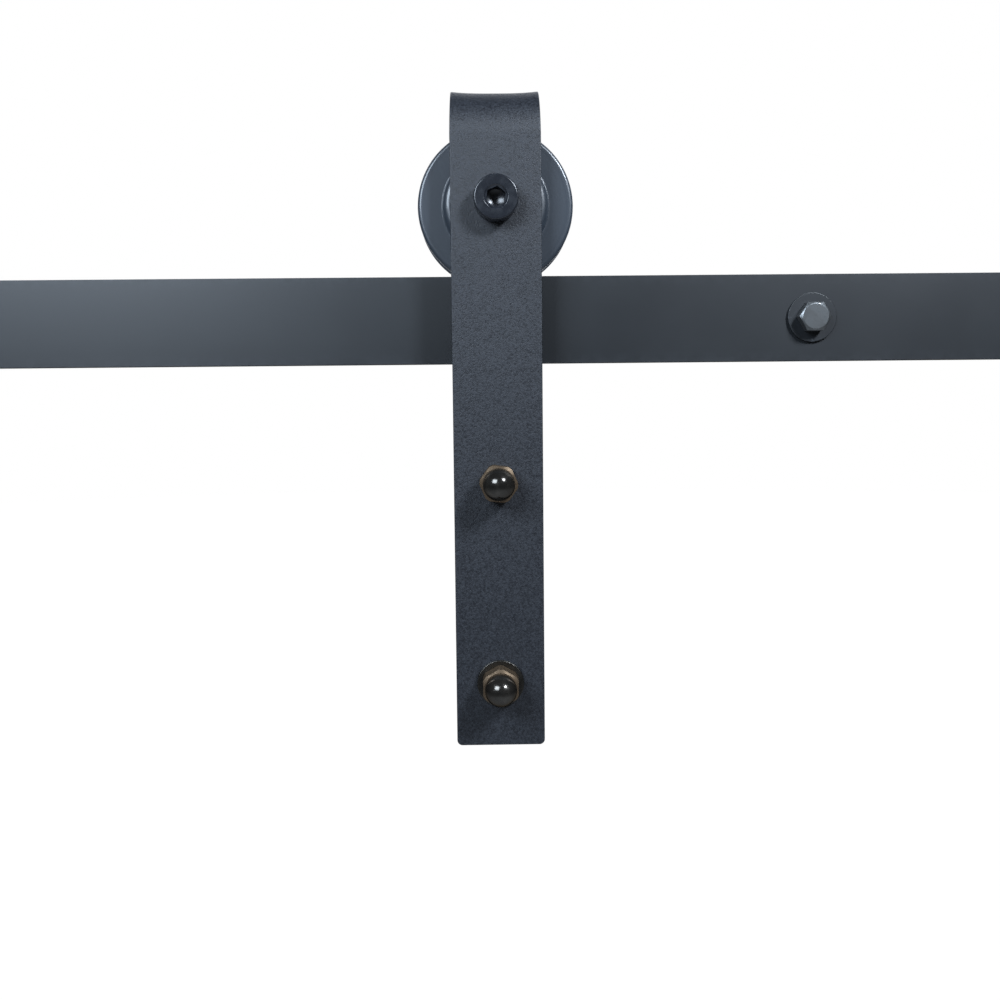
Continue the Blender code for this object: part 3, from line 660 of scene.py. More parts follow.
def makeDullZinc():
    # here the handling marks are the darker ones
    finish = Finish("dullZincPlate", zincFinish)
    smudge = finish.useGroup("smudge")
    finish.feed("Base Color", finish.lightenEdges(finish.tone(smudge.outputs["Mask"])))
    finish.roughBy(smudge.outputs["Mask"])
    finish.feed("Normal", finish.bump(smudge.outputs["Height"], *zincFinish["pits"]))
    finish.feed("Metallic", zincFinish["metal"])
    return finish.material


steelFinish = {
    "dark": (0.42, 0.42, 0.43), "light": (0.62, 0.62, 0.63), "roughness": (0.16, 0.28),
    "lines": 4000.0, "line": (0.000006, 0.4),
}


def makeBearingSteel():
    finish = Finish("groundBearingSteel", steelFinish)
    rings = finish.useGroup("rings", finish.centred(axle), Lines_per_metre=steelFinish["lines"])
    finish.feed("Base Color", finish.tone(rings.outputs["Shade"]))
    finish.roughBy(rings.outputs["Shade"])
    finish.feed("Normal", finish.bump(rings.outputs["Height"], *steelFinish["line"]))
    finish.feed("Metallic", 1.0)
    return finish.material


rubberFinish = {
    "dark": (0.010, 0.010, 0.011), "light": (0.024, 0.024, 0.025), "roughness": (0.6, 0.8),
    "dustAndSheen": (0.13, 0.125, 0.12), "dustAndSheenAmount": 0.35, "grains": 2600.0, "grain": (0.00003, 0.4),
}


def makeRubber():
    finish = Finish("mouldedRubber", rubberFinish)
    sand = finish.useGroup("sand", Grains_per_metre=rubberFinish["grains"])
    finish.feed("Base Color", finish.addDustAndSheen(finish.tone(sand.outputs["Speckle"])))
    finish.roughBy(sand.outputs["Speckle"])
    finish.feed("Normal", finish.bump(sand.outputs["Height"], *rubberFinish["grain"]))
    return finish.material


strapCoat = makeStrapCoat()
trackCoat = makeTrackCoat()
wheelCoat = makeWheelCoat()
blackOxide = makeBlackOxide()
nutNickel = makeNutNickel()
plateNickel = makePlateNickel()
dullZinc = makeDullZinc()
bearingSteel = makeBearingSteel()
blackRubber = makeRubber()
print("materials made")


# The camera, the lights and the room

cameraView = {
    "fromAxle": (-0.0064, -0.4906, -0.0932),   # metres
    "lens": 37.6, "down": 4.77, "right": 0.85, "roll": -0.57,   # millimetres and degrees
}


def makeCamera():
    camera = bpy.data.cameras.new("viewCamera")
    camera.lens = cameraView["lens"]
    camera.clip_start = 0.01
    camera.clip_end = 50.0
    holder = bpy.data.objects.new("viewCamera", camera)
    bpy.context.scene.collection.objects.link(holder)
    holder.location = axle + Vector(cameraView["fromAxle"])
    turn = Matrix.Rotation(math.radians(-cameraView["right"]), 3, "Z")
    turn @= Matrix.Rotation(math.radians(90 - cameraView["down"]), 3, "X")
    turn @= Matrix.Rotation(math.radians(cameraView["roll"]), 3, "Z")
    holder.rotation_euler = turn.to_euler()
    bpy.context.scene.camera = holder


# azimuth is to the right of straight in front, both angles in degrees, sizes in metres
lights = {
    "keySoftbox": {
        "azimuth": 39, "elevation": 33, "distance": 1.0, "size": (0.2, 0.2), "watts": 7.3,
        "color": (0.89, 0.985, 1.11),
    },
    "leftSoftbox": {
        "azimuth": -34, "elevation": 24, "distance": 0.95, "size": (0.5, 0.4), "watts": 5.3,
        "color": (0.85, 0.985, 1.15),
    },
    "backPanel": {
        "azimuth": 180, "elevation": 28, "distance": 1.5, "size": (3.0, 1.6), "watts": 20.0,
        "color": (0.96, 0.99, 1.05),
    },
}


def makeLights():
    aim = axle + Vector((0, 0, -0.06))
    for name, setting in lights.items():
        lamp = bpy.data.lights.new(name, "AREA")
        lamp.shape = "RECTANGLE"
        lamp.size, lamp.size_y = setting["size"]
        lamp.energy = setting["watts"]
        lamp.color = setting["color"]
        holder = bpy.data.objects.new(name, lamp)
        bpy.context.scene.collection.objects.link(holder)
        azimuth = math.radians(setting["azimuth"])
        elevation = math.radians(setting["elevation"])
        outward = Vector((
            math.sin(azimuth) * math.cos(elevation),
            -math.cos(azimuth) * math.cos(elevation),
            math.sin(elevation),
        ))
        holder.location = aim + outward * setting["distance"]
        holder.rotation_euler = (-outward).to_track_quat("-Z", "Y").to_euler()
        holder.visible_camera = False


room = {
    "floorBelow": 0.55, "radius": 9.0, "dark": (0.4137, 0.4137, 0.4137), "light": (0.42, 0.42, 0.42),
    "roughness": 0.9, "skyLight": 0.03,
    "glow": 1.12, "glowShare": 0.9,
}


def makeRoom():
    deselectAll()
    level = cadBox[0].z - room["floorBelow"]
    bpy.ops.mesh.primitive_circle_add(
        vertices=96, radius=room["radius"], fill_type="NGON", location=(0, 0, level)
    )
    floor = startPiece("studioFloor")
    leaveEditing()
    paint = Finish("floorPaint", room)
    peel = paint.useGroup("peel")
    paint.feed("Base Color", paint.tone(peel.outputs["Shade"]))
    paint.feed("Roughness", room["roughness"])
    # an evenly lit sweep to the eye, which throws only its own bounce at the piece
    tree = paint.tree
    glow = tree.nodes.new("ShaderNodeEmission")
    glow.inputs["Strength"].default_value = room["glow"]
    rays = tree.nodes.new("ShaderNodeLightPath")
    share = addMath(tree, "MULTIPLY", rays.outputs["Is Camera Ray"], room["glowShare"])
    blend = tree.nodes.new("ShaderNodeMixShader")
    tree.links.new(share, blend.inputs["Fac"])
    tree.links.new(paint.shader.outputs["BSDF"], blend.inputs[1])
    tree.links.new(glow.outputs["Emission"], blend.inputs[2])
    tree.links.new(blend.outputs["Shader"], tree.nodes["Material Output"].inputs["Surface"])
    floor.data.materials.append(paint.material)
    world = bpy.data.worlds.new("studioLight")
    bpy.context.scene.world = world
    world.use_nodes = True
    tree = world.node_tree
    seen = tree.nodes["Background"]
    seen.inputs["Strength"].default_value = 1.0
    lighting = tree.nodes.new("ShaderNodeBackground")
    lighting.inputs["Strength"].default_value = room["skyLight"]
    for shader in (seen, lighting):
        shader.inputs["Color"].default_value = (1, 1, 1, 1)
    rays = tree.nodes.new("ShaderNodeLightPath")
    mix = tree.nodes.new("ShaderNodeMixShader")
    tree.links.new(rays.outputs["Is Camera Ray"], mix.inputs["Fac"])
    tree.links.new(lighting.outputs["Background"], mix.inputs[1])
    tree.links.new(seen.outputs["Background"], mix.inputs[2])
    tree.links.new(mix.outputs["Shader"], tree.nodes["World Output"].inputs["Surface"])
    bpy.context.scene.view_settings.view_transform = "Standard"


makeCamera()
makeLights()
makeRoom()
print("camera, lights and room set")


# The track and its wall fixings

trackBar = {"edge": 0.0013, "edgeSteps": 5, "holeRadius": 0.0045}


def makeTrackBar():
    low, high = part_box("track_rail")
    bar = makeBlock("trackBar", low, high)
    for side in ("left", "right"):
        place = placeAt("wall_spacer_" + side, (low.y + high.y) / 2)
        cutRoundHole(bar, trackBar["holeRadius"], place, toFront, throughLength)
    roundEdges(bar, trackBar["edge"], trackBar["edgeSteps"], limit=60)
    standFor(finishPiece(bar), "track_rail", trackCoat)


spacer = {"bore": 0.0045, "chamfer": 0.0007}
washers = {"trackEdge": 0.0003, "doorEdge": 0.00035, "backEdge": 0.0005}


def makeWallTubes():
    low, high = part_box("wall_spacer_left")
    radius = (high.x - low.x) / 2
    tube = tubeTurn(
        "wallTube_left", spacer["bore"], radius, 0, high.y - low.y, spacer["chamfer"], segments=1
    )
    standPair(tube, "wallTube_right", "wall_spacer_", high.y, trackCoat)


def makeTrackWashers():
    low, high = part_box("track_washer_left")
    radius = (high.x - low.x) / 2
    ring = tubeTurn(
        "thinWasher_left", spacer["bore"], radius, 0, high.y - low.y, washers["trackEdge"]
    )
    standPair(ring, "thinWasher_right", "track_washer_", high.y, trackCoat)


threadSlack = 0.00004   # a rolled thread stands this much under its shank
hexSlack = 0.0003       # room round a hexagon that keeps its corners
overlap = 0.001         # of the pieces that a Boolean or a join makes one


def makeThread(name, radius, depth, pitch, turns, steps=36):
    # a helical thread upwards from Z = 0, closed at both ends; an envelope trims it later
    crest = pitch * 0.12
    root = pitch * 0.08
    outline = [(radius, 0), (radius - depth, (pitch - crest - root) / 2),
               (radius - depth, (pitch - crest + root) / 2), (radius, pitch - crest), (radius, pitch)]
    rod = drawOutline(name, outline, False, ())
    leaveEditing()
    wind = rod.modifiers.new("wind", "SCREW")
    wind.angle = math.tau
    wind.steps = steps
    wind.render_steps = steps
    wind.screw_offset = pitch
    wind.iterations = turns
    wind.use_merge_vertices = False
    bpy.ops.object.modifier_apply(modifier=wind.name)
    bpy.ops.object.mode_set(mode="EDIT")
    selectShape()
    bpy.ops.mesh.remove_doubles(threshold=mergeDistance)
    bpy.ops.mesh.fill_holes(sides=0)
    selectShape()
    bpy.ops.mesh.normals_make_consistent(inside=False)
    leaveEditing()
    return rod


def makeThreadedEnd(name, envelope, rounding, radius, depth, pitch, low, high):
    # the thread between two heights, cut to the shape of the bolt's end
    turns = int((high - low) / pitch) + 3
    thread = makeThread(name, radius - threadSlack, depth - threadSlack, pitch, turns)
    thread.location.z = low - pitch * 1.5
    shape = latheTurn(name + "Envelope", envelope, rounding, steps=64)
    useBoolean(thread, shape, "INTERSECT")
    return thread


def makeHexBolt(name, bolt, low, high, cuts, plain, envelope, tipRounding, thread):
    # head, plain shank and thread of a hex bolt, its head between low and high
    piece = makeHexHead(name, bolt["acrossFlats"], low, high, math.radians(bolt["headTurn"]), *cuts)
    shank = bolt["shank"]
    farCorner = 1 if abs(plain[0]) > abs(plain[1]) else 2
    outline = [(0, plain[0]), (shank, plain[0]), (shank, plain[1]), (0, plain[1])]
    neck = latheTurn("plainShank", outline, [(farCorner, bolt["runOut"], 1)], steps=64)
    useBoolean(piece, neck, "UNION")
    roundEdges(piece, bolt["edge"], 2, limit=25)
    joinPieces(piece, makeThreadedEnd(
        name + "Thread", envelope, tipRounding, shank, bolt["threadDepth"], bolt["pitch"], *thread
    ))
    return piece


def makeHexHead(name, acrossFlats, low, high, turn, topCut, bottomCut, girth=None):
    # a hexagon whose corners a cone has cut back, down to the girth if one is given
    head = hexBar(name, acrossFlats, low - cutterExcess, high + cutterExcess, turn)
    corner = acrossFlats / math.sqrt(3)
    girth = girth or corner + hexSlack
    topEnd = min(corner - topCut * chamferSpread, girth)
    bottomEnd = min(corner - bottomCut * chamferSpread, girth)
    slope = math.tan(chamferAngle)
    outline = [(0, high), (topEnd, high), (girth, high - (girth - topEnd) * slope)]
    outline += [(girth, low + (girth - bottomEnd) * slope), (bottomEnd, low), (0, low)]
    useBoolean(head, latheTurn(name + "Cone", outline), "INTERSECT")
    return head


def joinPieces(piece, other):
    deselectAll()
    other.select_set(True)
    piece.select_set(True)
    bpy.context.view_layer.objects.active = piece
    bpy.ops.object.join()


lagBolt = {
    "shank": 0.004, "acrossFlats": 0.013, "headHeight": 0.0053, "threadDepth": 0.0009,
    "pitch": 0.0032, "threadLength": 0.042, "runOut": 0.0007, "point": 0.008, "headTurn": 30.0,
    "topCut": 0.0009, "edge": 0.00015,
}


def makeLagBolts():
    low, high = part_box("lag_bolt_left")
    seatY = low.y + lagBolt["headHeight"]
    length = high.y - seatY
    shank = lagBolt["shank"]
    threadTop = lagBolt["threadLength"] - length
    envelope = [(0, threadTop), (shank, threadTop), (shank, lagBolt["point"] - length), (0, -length)]
    bolt = makeHexBolt(
        "lagBolt_left", lagBolt, 0, lagBolt["headHeight"], (lagBolt["topCut"], 0),
        (overlap, threadTop - overlap), envelope, (), (-length, threadTop),
    )
    standPair(bolt, "lagBolt_right", "lag_bolt_", seatY, dullZinc, sharpAngle)


makeTrackBar()
makeWallTubes()
makeTrackWashers()
makeLagBolts()
print("track and wall fixings made")


# The end stops

endStop = {
    "slotSlack": 0.0003, "slotBelow": 0.01, "slotCutter": 0.05,
    "edge": 0.0012, "edgeSteps": 5, "holeEdge": 0.00025,
    "screwRadius": 0.003, "screwSlack": 0.0003, "screwCutter": 0.014,
    "pegRadius": 0.0033, "pegCutter": 0.05,
}


def makeEndStops():
    low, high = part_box("end_stop_left")
    railLow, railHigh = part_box("track_rail")
    slack = endStop["slotSlack"]
    block = makeBlock("stopBlock_left", low, high)
    roundEdges(block, endStop["edge"], endStop["edgeSteps"])
    slotTop = railHigh.z + slack
    slotHeight = slotTop - low.z + endStop["slotBelow"]
    middle = Vector(((low.x + high.x) / 2, (railLow.y + railHigh.y) / 2, slotTop - slotHeight / 2))
    size = Vector((endStop["slotCutter"], railHigh.y - railLow.y + 2 * slack, slotHeight))
    slot = makeBlock("slotCutter", middle - size / 2, middle + size / 2)
    useBoolean(block, slot, "DIFFERENCE")
    for number in (1, 2):
        place = middleOf(f"stop_set_screw_left_{number}")
        hole = endStop["screwRadius"] + endStop["screwSlack"]
        cutRoundHole(block, hole, place, toFront, endStop["screwCutter"])
    peg = middleOf("bumper_left")
    peg.x = (low.x + high.x) / 2
    cutRoundHole(block, endStop["pegRadius"], peg, (0, math.pi / 2, 0), endStop["pegCutter"])
    roundEdges(block, endStop["holeEdge"], 2, limit=60)
    twin = copyPiece(block, "stopBlock_right")
    across = middleOf("end_stop_right").x - middleOf("end_stop_left").x
    standFor(finishPiece(block), "end_stop_left", trackCoat)
    standFor(finishPiece(twin, (across, 0, 0)), "end_stop_right", trackCoat)


setScrew = {"key": 0.003, "keyDepth": 0.0028, "chamfer": 0.0004, "pitch": 0.001, "threadDepth": 0.00045}


def makeSetScrews():
    low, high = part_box("stop_set_screw_left_1")
    length = high.y - low.y
    radius = (high.x - low.x) / 2
    chamfer = setScrew["chamfer"]
    envelope = [(0, 0), (radius, 0), (radius, -length), (0, -length)]
    screw = makeThreadedEnd(
        "stopScrew_left_1", envelope, [(1, chamfer, 1), (2, chamfer * 2, 1)], radius,
        setScrew["threadDepth"], setScrew["pitch"], -length, 0,
    )
    socket = hexBar("keyCutter", setScrew["key"], -setScrew["keyDepth"], cutterExcess, 0)
    useBoolean(screw, socket, "DIFFERENCE")
    pieces = [screw]
    names = [(side, number) for side in ("left", "right") for number in (1, 2)]
    for side, number in names[1:]:
        pieces.append(copyPiece(screw, f"stopScrew_{side}_{number}"))
    for piece, (side, number) in zip(pieces, names):
        node = f"stop_set_screw_{side}_{number}"
        standFor(finishPiece(piece, placeAt(node, low.y), toFront, sharpAngle), node, blackOxide)


bumper = {
    "crown": 0.0012, "edge": 0.0022, "pegRadius": 0.003, "faceDepth": 0.008, "ringDepth": 0.0004,
    "grooveShares": (0.5, 0.56, 0.62, 0.68), "grooveEdge": 0.0002, "backEdge": 0.0004, "pegEdge": 0.0008,
}


def makeBumpers():
    low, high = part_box("bumper_left")
    radius = (high.z - low.z) / 2
    face = bumper["faceDepth"]
    back = face - (high.x - low.x)
    crown, ring = bumper["crown"], bumper["ringDepth"]
    peg = bumper["pegRadius"]
    grooveIn, floorIn, floorOut, grooveOut = (radius * share for share in bumper["grooveShares"])
    outline = [(0, face), (grooveIn, face), (floorIn, face - ring), (floorOut, face - ring)]
    outline += [(grooveOut, face), (radius, face - crown / 3), (radius, 0)]
    outline += [(peg, 0), (peg, back), (0, back)]
    rounding = [(index, bumper["grooveEdge"], 3) for index in (1, 2, 3, 4)]
    rounding += [(5, bumper["edge"], 8), (6, bumper["backEdge"], 3), (8, bumper["pegEdge"], 4)]
    button = latheTurn("rubberBumper_left", outline, rounding, steps=96)
    twin = copyPiece(button, "rubberBumper_right")
    for piece, node, sign in ((button, "bumper_left", -1), (twin, "bumper_right", 1)):
        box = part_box(node)
        tip = box[1].x if sign < 0 else box[0].x
        place = (tip + sign * face, middleOf(node).y, middleOf(node).z)
        standFor(finishPiece(piece, place, (0, -sign * math.pi / 2, 0)), node, blackRubber)


makeEndStops()
makeSetScrews()
makeBumpers()
print("end stops made")


# The strap

strap = {
    "thickness": 0.006, "edge": 0.0008, "edgeSteps": 4, "bendSteps": 48, "columns": 12,
    "curl": 0.0008, "narrowing": 0.0004, "footCorner": 0.0024, "tailCorner": 0.0115,
    "axleHole": 0.0063, "doorHole": 0.00515, "tailBelowAxle": 0.020,
}


def makeStrap():
    low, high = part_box("hanger_strap")
    half = (high.x - low.x) / 2
    reach = axle.y - low.y
    bendZ = high.z - reach - strap["curl"]
    tailZ = axle.z - strap["tailBelowAxle"]
    wall = strap["thickness"]
    deselectAll()
    foot = Vector((axle.x, low.y + wall / 2, low.z))
    bpy.ops.mesh.primitive_plane_add(size=1, location=foot)
    bar = startPiece("strapBar")
    selectShape()
    bpy.ops.transform.resize(value=(half * 2, wall, 1), center_override=foot)
    bpy.ops.mesh.delete(type="ONLY_FACE")
    bpy.ops.mesh.select_mode(type="EDGE")
    selectShape()
    bpy.ops.mesh.extrude_region_move(TRANSFORM_OT_translate={"value": (0, 0, bendZ - low.z)})
    # over the wheel, then down behind it
    bpy.ops.mesh.spin(
        steps=strap["bendSteps"], angle=math.pi, center=(axle.x, axle.y, bendZ), axis=(1, 0, 0)
    )
    bpy.ops.mesh.extrude_region_move(TRANSFORM_OT_translate={"value": (0, 0, tailZ - bendZ)})
    bpy.ops.mesh.edge_face_add()
    pick("EDGE", lambda middle, along: closeTo(middle.z, low.z))
    bpy.ops.mesh.edge_face_add()
    selectShape()
    bpy.ops.mesh.normals_make_consistent(inside=False)
    # columns across the bend, so that its edges can curl up as a tight bend makes them
    for column in range(1, strap["columns"]):
        across = axle.x - half + 2 * half * column / strap["columns"]
        pick("FACE", lambda middle, normal: middle.z > bendZ)
        bpy.ops.mesh.bisect(plane_co=(across, 0, 0), plane_no=(1, 0, 0))
    centre = (axle.x, axle.y, bendZ)
    for column in range(strap["columns"] // 2):
        u = 1 - 2 * column / strap["columns"]
        pick("VERT", lambda co: co.z > bendZ and closeTo(abs(co.x - axle.x), u * half))
        stretch = 1 + strap["curl"] * u ** 3 / reach
        bpy.ops.transform.resize(value=(1, 1, stretch), center_override=centre)
    for step in range(1, strap["bendSteps"]):
        angle = math.pi * step / strap["bendSteps"]
        pick("VERT", lambda co: co.z > bendZ + 0.0001 and closeTo(
            math.atan2(co.z - bendZ, axle.y - co.y), angle, math.pi / strap["bendSteps"] / 2))
        squeeze = 1 - strap["narrowing"] * math.sin(angle) / half
        bpy.ops.transform.resize(value=(squeeze, 1, 1), center_override=centre)
    pick("EDGE", lambda middle, along: closeTo(middle.z, low.z) and abs(along.y) > 0.99)
    bpy.ops.mesh.bevel(offset=strap["footCorner"], segments=8, affect="EDGES")
    pick("EDGE", lambda middle, along: (
        closeTo(middle.z, tailZ) and abs(along.y) > 0.99 and middle.y > axle.y))
    bpy.ops.mesh.bevel(offset=strap["tailCorner"], segments=20, affect="EDGES")
    leaveEditing()
    cutRoundHole(bar, strap["axleHole"], axle, toFront, 0.1, 96)
    for node in ("acorn_nut_upper", "acorn_nut_lower"):
        cutRoundHole(bar, strap["doorHole"], placeAt(node, low.y), toFront, throughLength, 72)
    roundEdges(bar, strap["edge"], strap["edgeSteps"], limit=50)
    standFor(finishPiece(bar), "hanger_strap", strapCoat)


makeStrap()
print("strap made")


# The wheel and its bearing

wheel = {
    "hubRadius": 0.0240, "hubRound": 0.0036, "hubFoot": 0.0004, "flangeFace": 0.0088,
    "flangeEdge": 0.0018, "lip": 0.0056, "rollingRadius": 0.0302, "grooveHalf": 0.0037,
    "seatRadius": 0.0163, "seatHalf": 0.0053, "shoulder": 0.0145,
    "clipLow": 0.0055, "clipHigh": 0.0071, "clipRadius": 0.0175,
    "lipEdge": 0.0006, "mouthEdge": 0.0005, "shoulderEdge": 0.0004,
}


def makeWheel():
    low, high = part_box("wheel")
    flange = (high.x - low.x) / 2
    hubHalf = (high.y - low.y) / 2
    w = wheel
    side = [(w["hubRadius"], hubHalf), (w["hubRadius"], w["flangeFace"]), (flange, w["flangeFace"]),
            (flange, w["lip"]), (w["rollingRadius"], w["grooveHalf"])]
    outline = [(w["seatRadius"], hubHalf)] + side + [(r, -h) for r, h in reversed(side)]
    seat = w["seatRadius"]
    outline += [(w["shoulder"], -hubHalf), (w["shoulder"], -w["seatHalf"]), (seat, -w["seatHalf"])]
    outline += [(seat, w["clipLow"]), (w["clipRadius"], w["clipLow"])]
    outline += [(w["clipRadius"], w["clipHigh"]), (seat, w["clipHigh"])]
    rounding = []
    for hub, foot, edge, lip, groove in ((1, 2, 3, 4, 5), (10, 9, 8, 7, 6)):
        rounding += [(hub, w["hubRound"], 10), (foot, w["hubFoot"], 5), (edge, w["flangeEdge"], 8)]
        rounding += [(lip, w["lipEdge"], 4), (groove, w["lipEdge"], 4)]
    rounding += [(0, w["mouthEdge"], 3), (11, w["shoulderEdge"], 2)]
    body = latheTurn("grooveWheel", outline, rounding, steps=160, closed=True)
    standFor(finishPiece(body, axle, toFront), "wheel", wheelCoat)


bearing = {
    "boreRadius": 0.0063, "innerShoulder": 0.0091, "outerShoulder": 0.0129,
    "pitchRadius": 0.011, "ballRadius": 0.002976, "grooveSlack": 0.00025, "edge": 0.0004,
    "shieldInner": 0.0094, "shieldOuter": 0.0126, "shieldEdge": 0.0001, "clipInner": 0.0146,
    "clipEdge": 0.0002,
}


def raceArc(shoulder, outward, steps=12):
    # the ball groove, as points of an arc from its top edge to its bottom edge
    groove = bearing["ballRadius"] + bearing["grooveSlack"]
    inset = abs(bearing["pitchRadius"] - shoulder)
    spread = math.acos(inset / groove)
    points = []
    for step in range(steps + 1):
        angle = spread - 2 * spread * step / steps
        side = 1 if outward else -1
        points.append((
            bearing["pitchRadius"] + side * groove * math.cos(angle), groove * math.sin(angle)
        ))
    return points


def makeBearingRings():
    low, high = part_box("bearing_outer_ring")
    half = (high.y - low.y) / 2
    radius = (high.x - low.x) / 2
    b = bearing
    inner = [(b["boreRadius"], half), (b["innerShoulder"], half)] + raceArc(b["innerShoulder"], False)
    inner += [(b["innerShoulder"], -half), (b["boreRadius"], -half)]
    last = len(inner) - 1
    ring = latheTurn(
        "innerRace", inner, [(index, b["edge"] / 2, 2) for index in (0, 1, last - 1, last)], closed=True
    )
    standFor(finishPiece(ring, axle, toFront), "bearing_inner_ring", bearingSteel)
    outer = [(b["outerShoulder"], half), (radius, half), (radius, -half), (b["outerShoulder"], -half)]
    outer += list(reversed(raceArc(b["outerShoulder"], True)))
    rounding = [(1, b["edge"], 3), (2, b["edge"], 3), (0, b["edge"] / 3, 2), (3, b["edge"] / 3, 2)]
    ring = latheTurn("outerRace", outer, rounding, closed=True)
    standFor(finishPiece(ring, axle, toFront), "bearing_outer_ring", bearingSteel)


def makeShieldsAndClip():
    b = bearing
    for end in ("front", "rear"):
        node = "bearing_shield_" + end
        low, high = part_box(node)
        plate = tubeTurn(
            "dustShield_" + end, b["shieldInner"], b["shieldOuter"], 0, high.y - low.y, b["shieldEdge"]
        )
        standFor(finishPiece(plate, (axle.x, high.y, axle.z), toFront), node, bearingSteel)
    low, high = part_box("bearing_circlip")
    radius = (high.x - low.x) / 2
    clip = tubeTurn("retainingRing", b["clipInner"], radius, 0, high.y - low.y, b["clipEdge"])
    standFor(finishPiece(clip, (axle.x, high.y, axle.z), toFront), "bearing_circlip", blackOxide)


cage = {"inner": 0.0103, "outer": 0.0117, "pocketSlack": 0.0003, "cutter": 0.008, "edge": 0.0002}


def makeCageAndBalls():
    low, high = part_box("bearing_cage")
    half = (high.y - low.y) / 2
    band = tubeTurn("ballCage", cage["inner"], cage["outer"], -half, half, cage["edge"], segments=2)
    finishPiece(band, axle, toFront)
    numbers = range(1, 8)
    for number in numbers:
        place = middleOf(f"bearing_ball_{number}")
        outward = place - axle
        turn = outward.to_track_quat("Z", "Y").to_euler()
        pocket = bearing["ballRadius"] + cage["pocketSlack"]
        cutRoundHole(band, pocket, place, turn, cage["cutter"], 48)
    standFor(finishPiece(band), "bearing_cage", bearingSteel)
    for number in numbers:
        node = f"bearing_ball_{number}"
        deselectAll()
        bpy.ops.mesh.primitive_ico_sphere_add(
            subdivisions=4, radius=bearing["ballRadius"], location=middleOf(node)
        )
        ball = startPiece(f"steelBall_{number}")
        leaveEditing()
        standFor(finishPiece(ball, smoothTo=180), node, bearingSteel)


makeWheel()
makeBearingRings()
makeShieldsAndClip()
makeCageAndBalls()
print("wheel and bearing made")


# The axle

axleBolt = {
    "shank": 0.006, "headHeight": 0.00785, "headEdge": 0.0008, "key": 0.008, "keyTurn": -8.0,
    "keyDepth": 0.0044, "drillPoint": 0.0024, "pilotShare": 0.86, "mouth": 0.0053,
    "mouthDepth": 0.0006, "mouthEdge": 0.00012, "seatEdge": 0.0003, "neck": 0.00025,
    "runOut": 0.0008, "tailChamfer": 0.0011, "threadDepth": 0.0009, "pitch": 0.00175,
    "threadLength": 0.0185,
}


def makeAxleBolt():
    low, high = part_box("axle_bolt")
    a = axleBolt
    top = axle.y - low.y
    seat = top - a["headHeight"]
    tail = axle.y - high.y
    head = (high.x - low.x) / 2
    threadTop = tail + a["threadLength"]
    shank = a["shank"]
    plainEnd = threadTop - overlap
    mouthFloor = top - a["mouthDepth"]
    outline = [(0, mouthFloor), (a["mouth"] - a["mouthDepth"], mouthFloor), (a["mouth"], top)]
    outline += [(head, top), (head, seat), (shank, seat), (shank, plainEnd), (0, plainEnd)]
    rounding = [(2, a["mouthEdge"], 2), (3, a["headEdge"], 8), (4, a["seatEdge"], 3)]
    rounding += [(5, a["neck"], 3), (6, a["runOut"], 1)]
    bolt = latheTurn("socketBolt", outline, rounding, steps=128)
    envelope = [(0, threadTop), (shank, threadTop), (shank, tail), (0, tail)]
    # the key socket ends in the cone that its pilot drill left
    corner = a["key"] / math.sqrt(3)
    floor = mouthFloor - a["keyDepth"]
    socket = hexBar("keyCutter", a["key"], floor, top + 2 * cutterExcess, math.radians(a["keyTurn"]))
    useBoolean(bolt, socket, "DIFFERENCE")
    pilot = corner * a["pilotShare"]
    drill = latheTurn(
        "drillCutter",
        [(0, floor + cutterExcess), (pilot, floor + cutterExcess), (pilot, floor),
         (0, floor - a["drillPoint"])],
        steps=64,
    )
    useBoolean(bolt, drill, "DIFFERENCE")
    joinPieces(bolt, makeThreadedEnd(
        "axleThread", envelope, [(2, a["tailChamfer"], 1)], shank, a["threadDepth"], a["pitch"],
        tail, threadTop,
    ))
    standFor(finishPiece(bolt, axle, toFront, sharpAngle), "axle_bolt", blackOxide)


bush = {"bore": 0.0063, "edge": 0.0004}
lockNut = {
    "acrossFlats": 0.018, "hexHeight": 0.0075, "collar": 0.0079, "bore": 0.0063, "edge": 0.0002,
    "topCut": 0.0007, "insertBore": 0.0061, "collarEdge": 0.0009,
}


def makeBushes():
    for end, turn in (("front", toFront), ("rear", toBack)):
        node = "axle_bush_" + end
        low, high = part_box(node)
        sleeve = tubeTurn(
            "spacingBush_" + end, bush["bore"], (high.x - low.x) / 2, 0, high.y - low.y, bush["edge"]
        )
        start = high.y if end == "front" else low.y
        standFor(finishPiece(sleeve, (axle.x, start, axle.z), turn), node, dullZinc)


def makeAxleNut():
    low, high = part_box("axle_washer")
    ring = tubeTurn("axleWasher", bush["bore"], (high.x - low.x) / 2, 0, high.y - low.y, 0.0004)
    standFor(finishPiece(ring, (axle.x, low.y, axle.z), toBack), "axle_washer", dullZinc)
    low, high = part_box("axle_lock_nut")
    n = lockNut
    height = high.y - low.y
    nut = makeHexHead(
        "lockNut", n["acrossFlats"], 0, n["hexHeight"], 0, n["topCut"], n["topCut"]
    )
    cutRoundHole(nut, n["bore"], (0, 0, 0.005), (0, 0, 0), 0.03, 96)
    roundEdges(nut, n["edge"], 2, limit=30)
    joinPieces(nut, tubeTurn(
        "lockCollar", n["insertBore"], n["collar"], n["hexHeight"] - overlap, height, n["collarEdge"]
    ))
    standFor(finishPiece(nut, (axle.x, low.y, axle.z), toBack, sharpAngle), "axle_lock_nut", dullZinc)


makeAxleBolt()
makeBushes()
makeAxleNut()
print("axle made")


# The door bolts

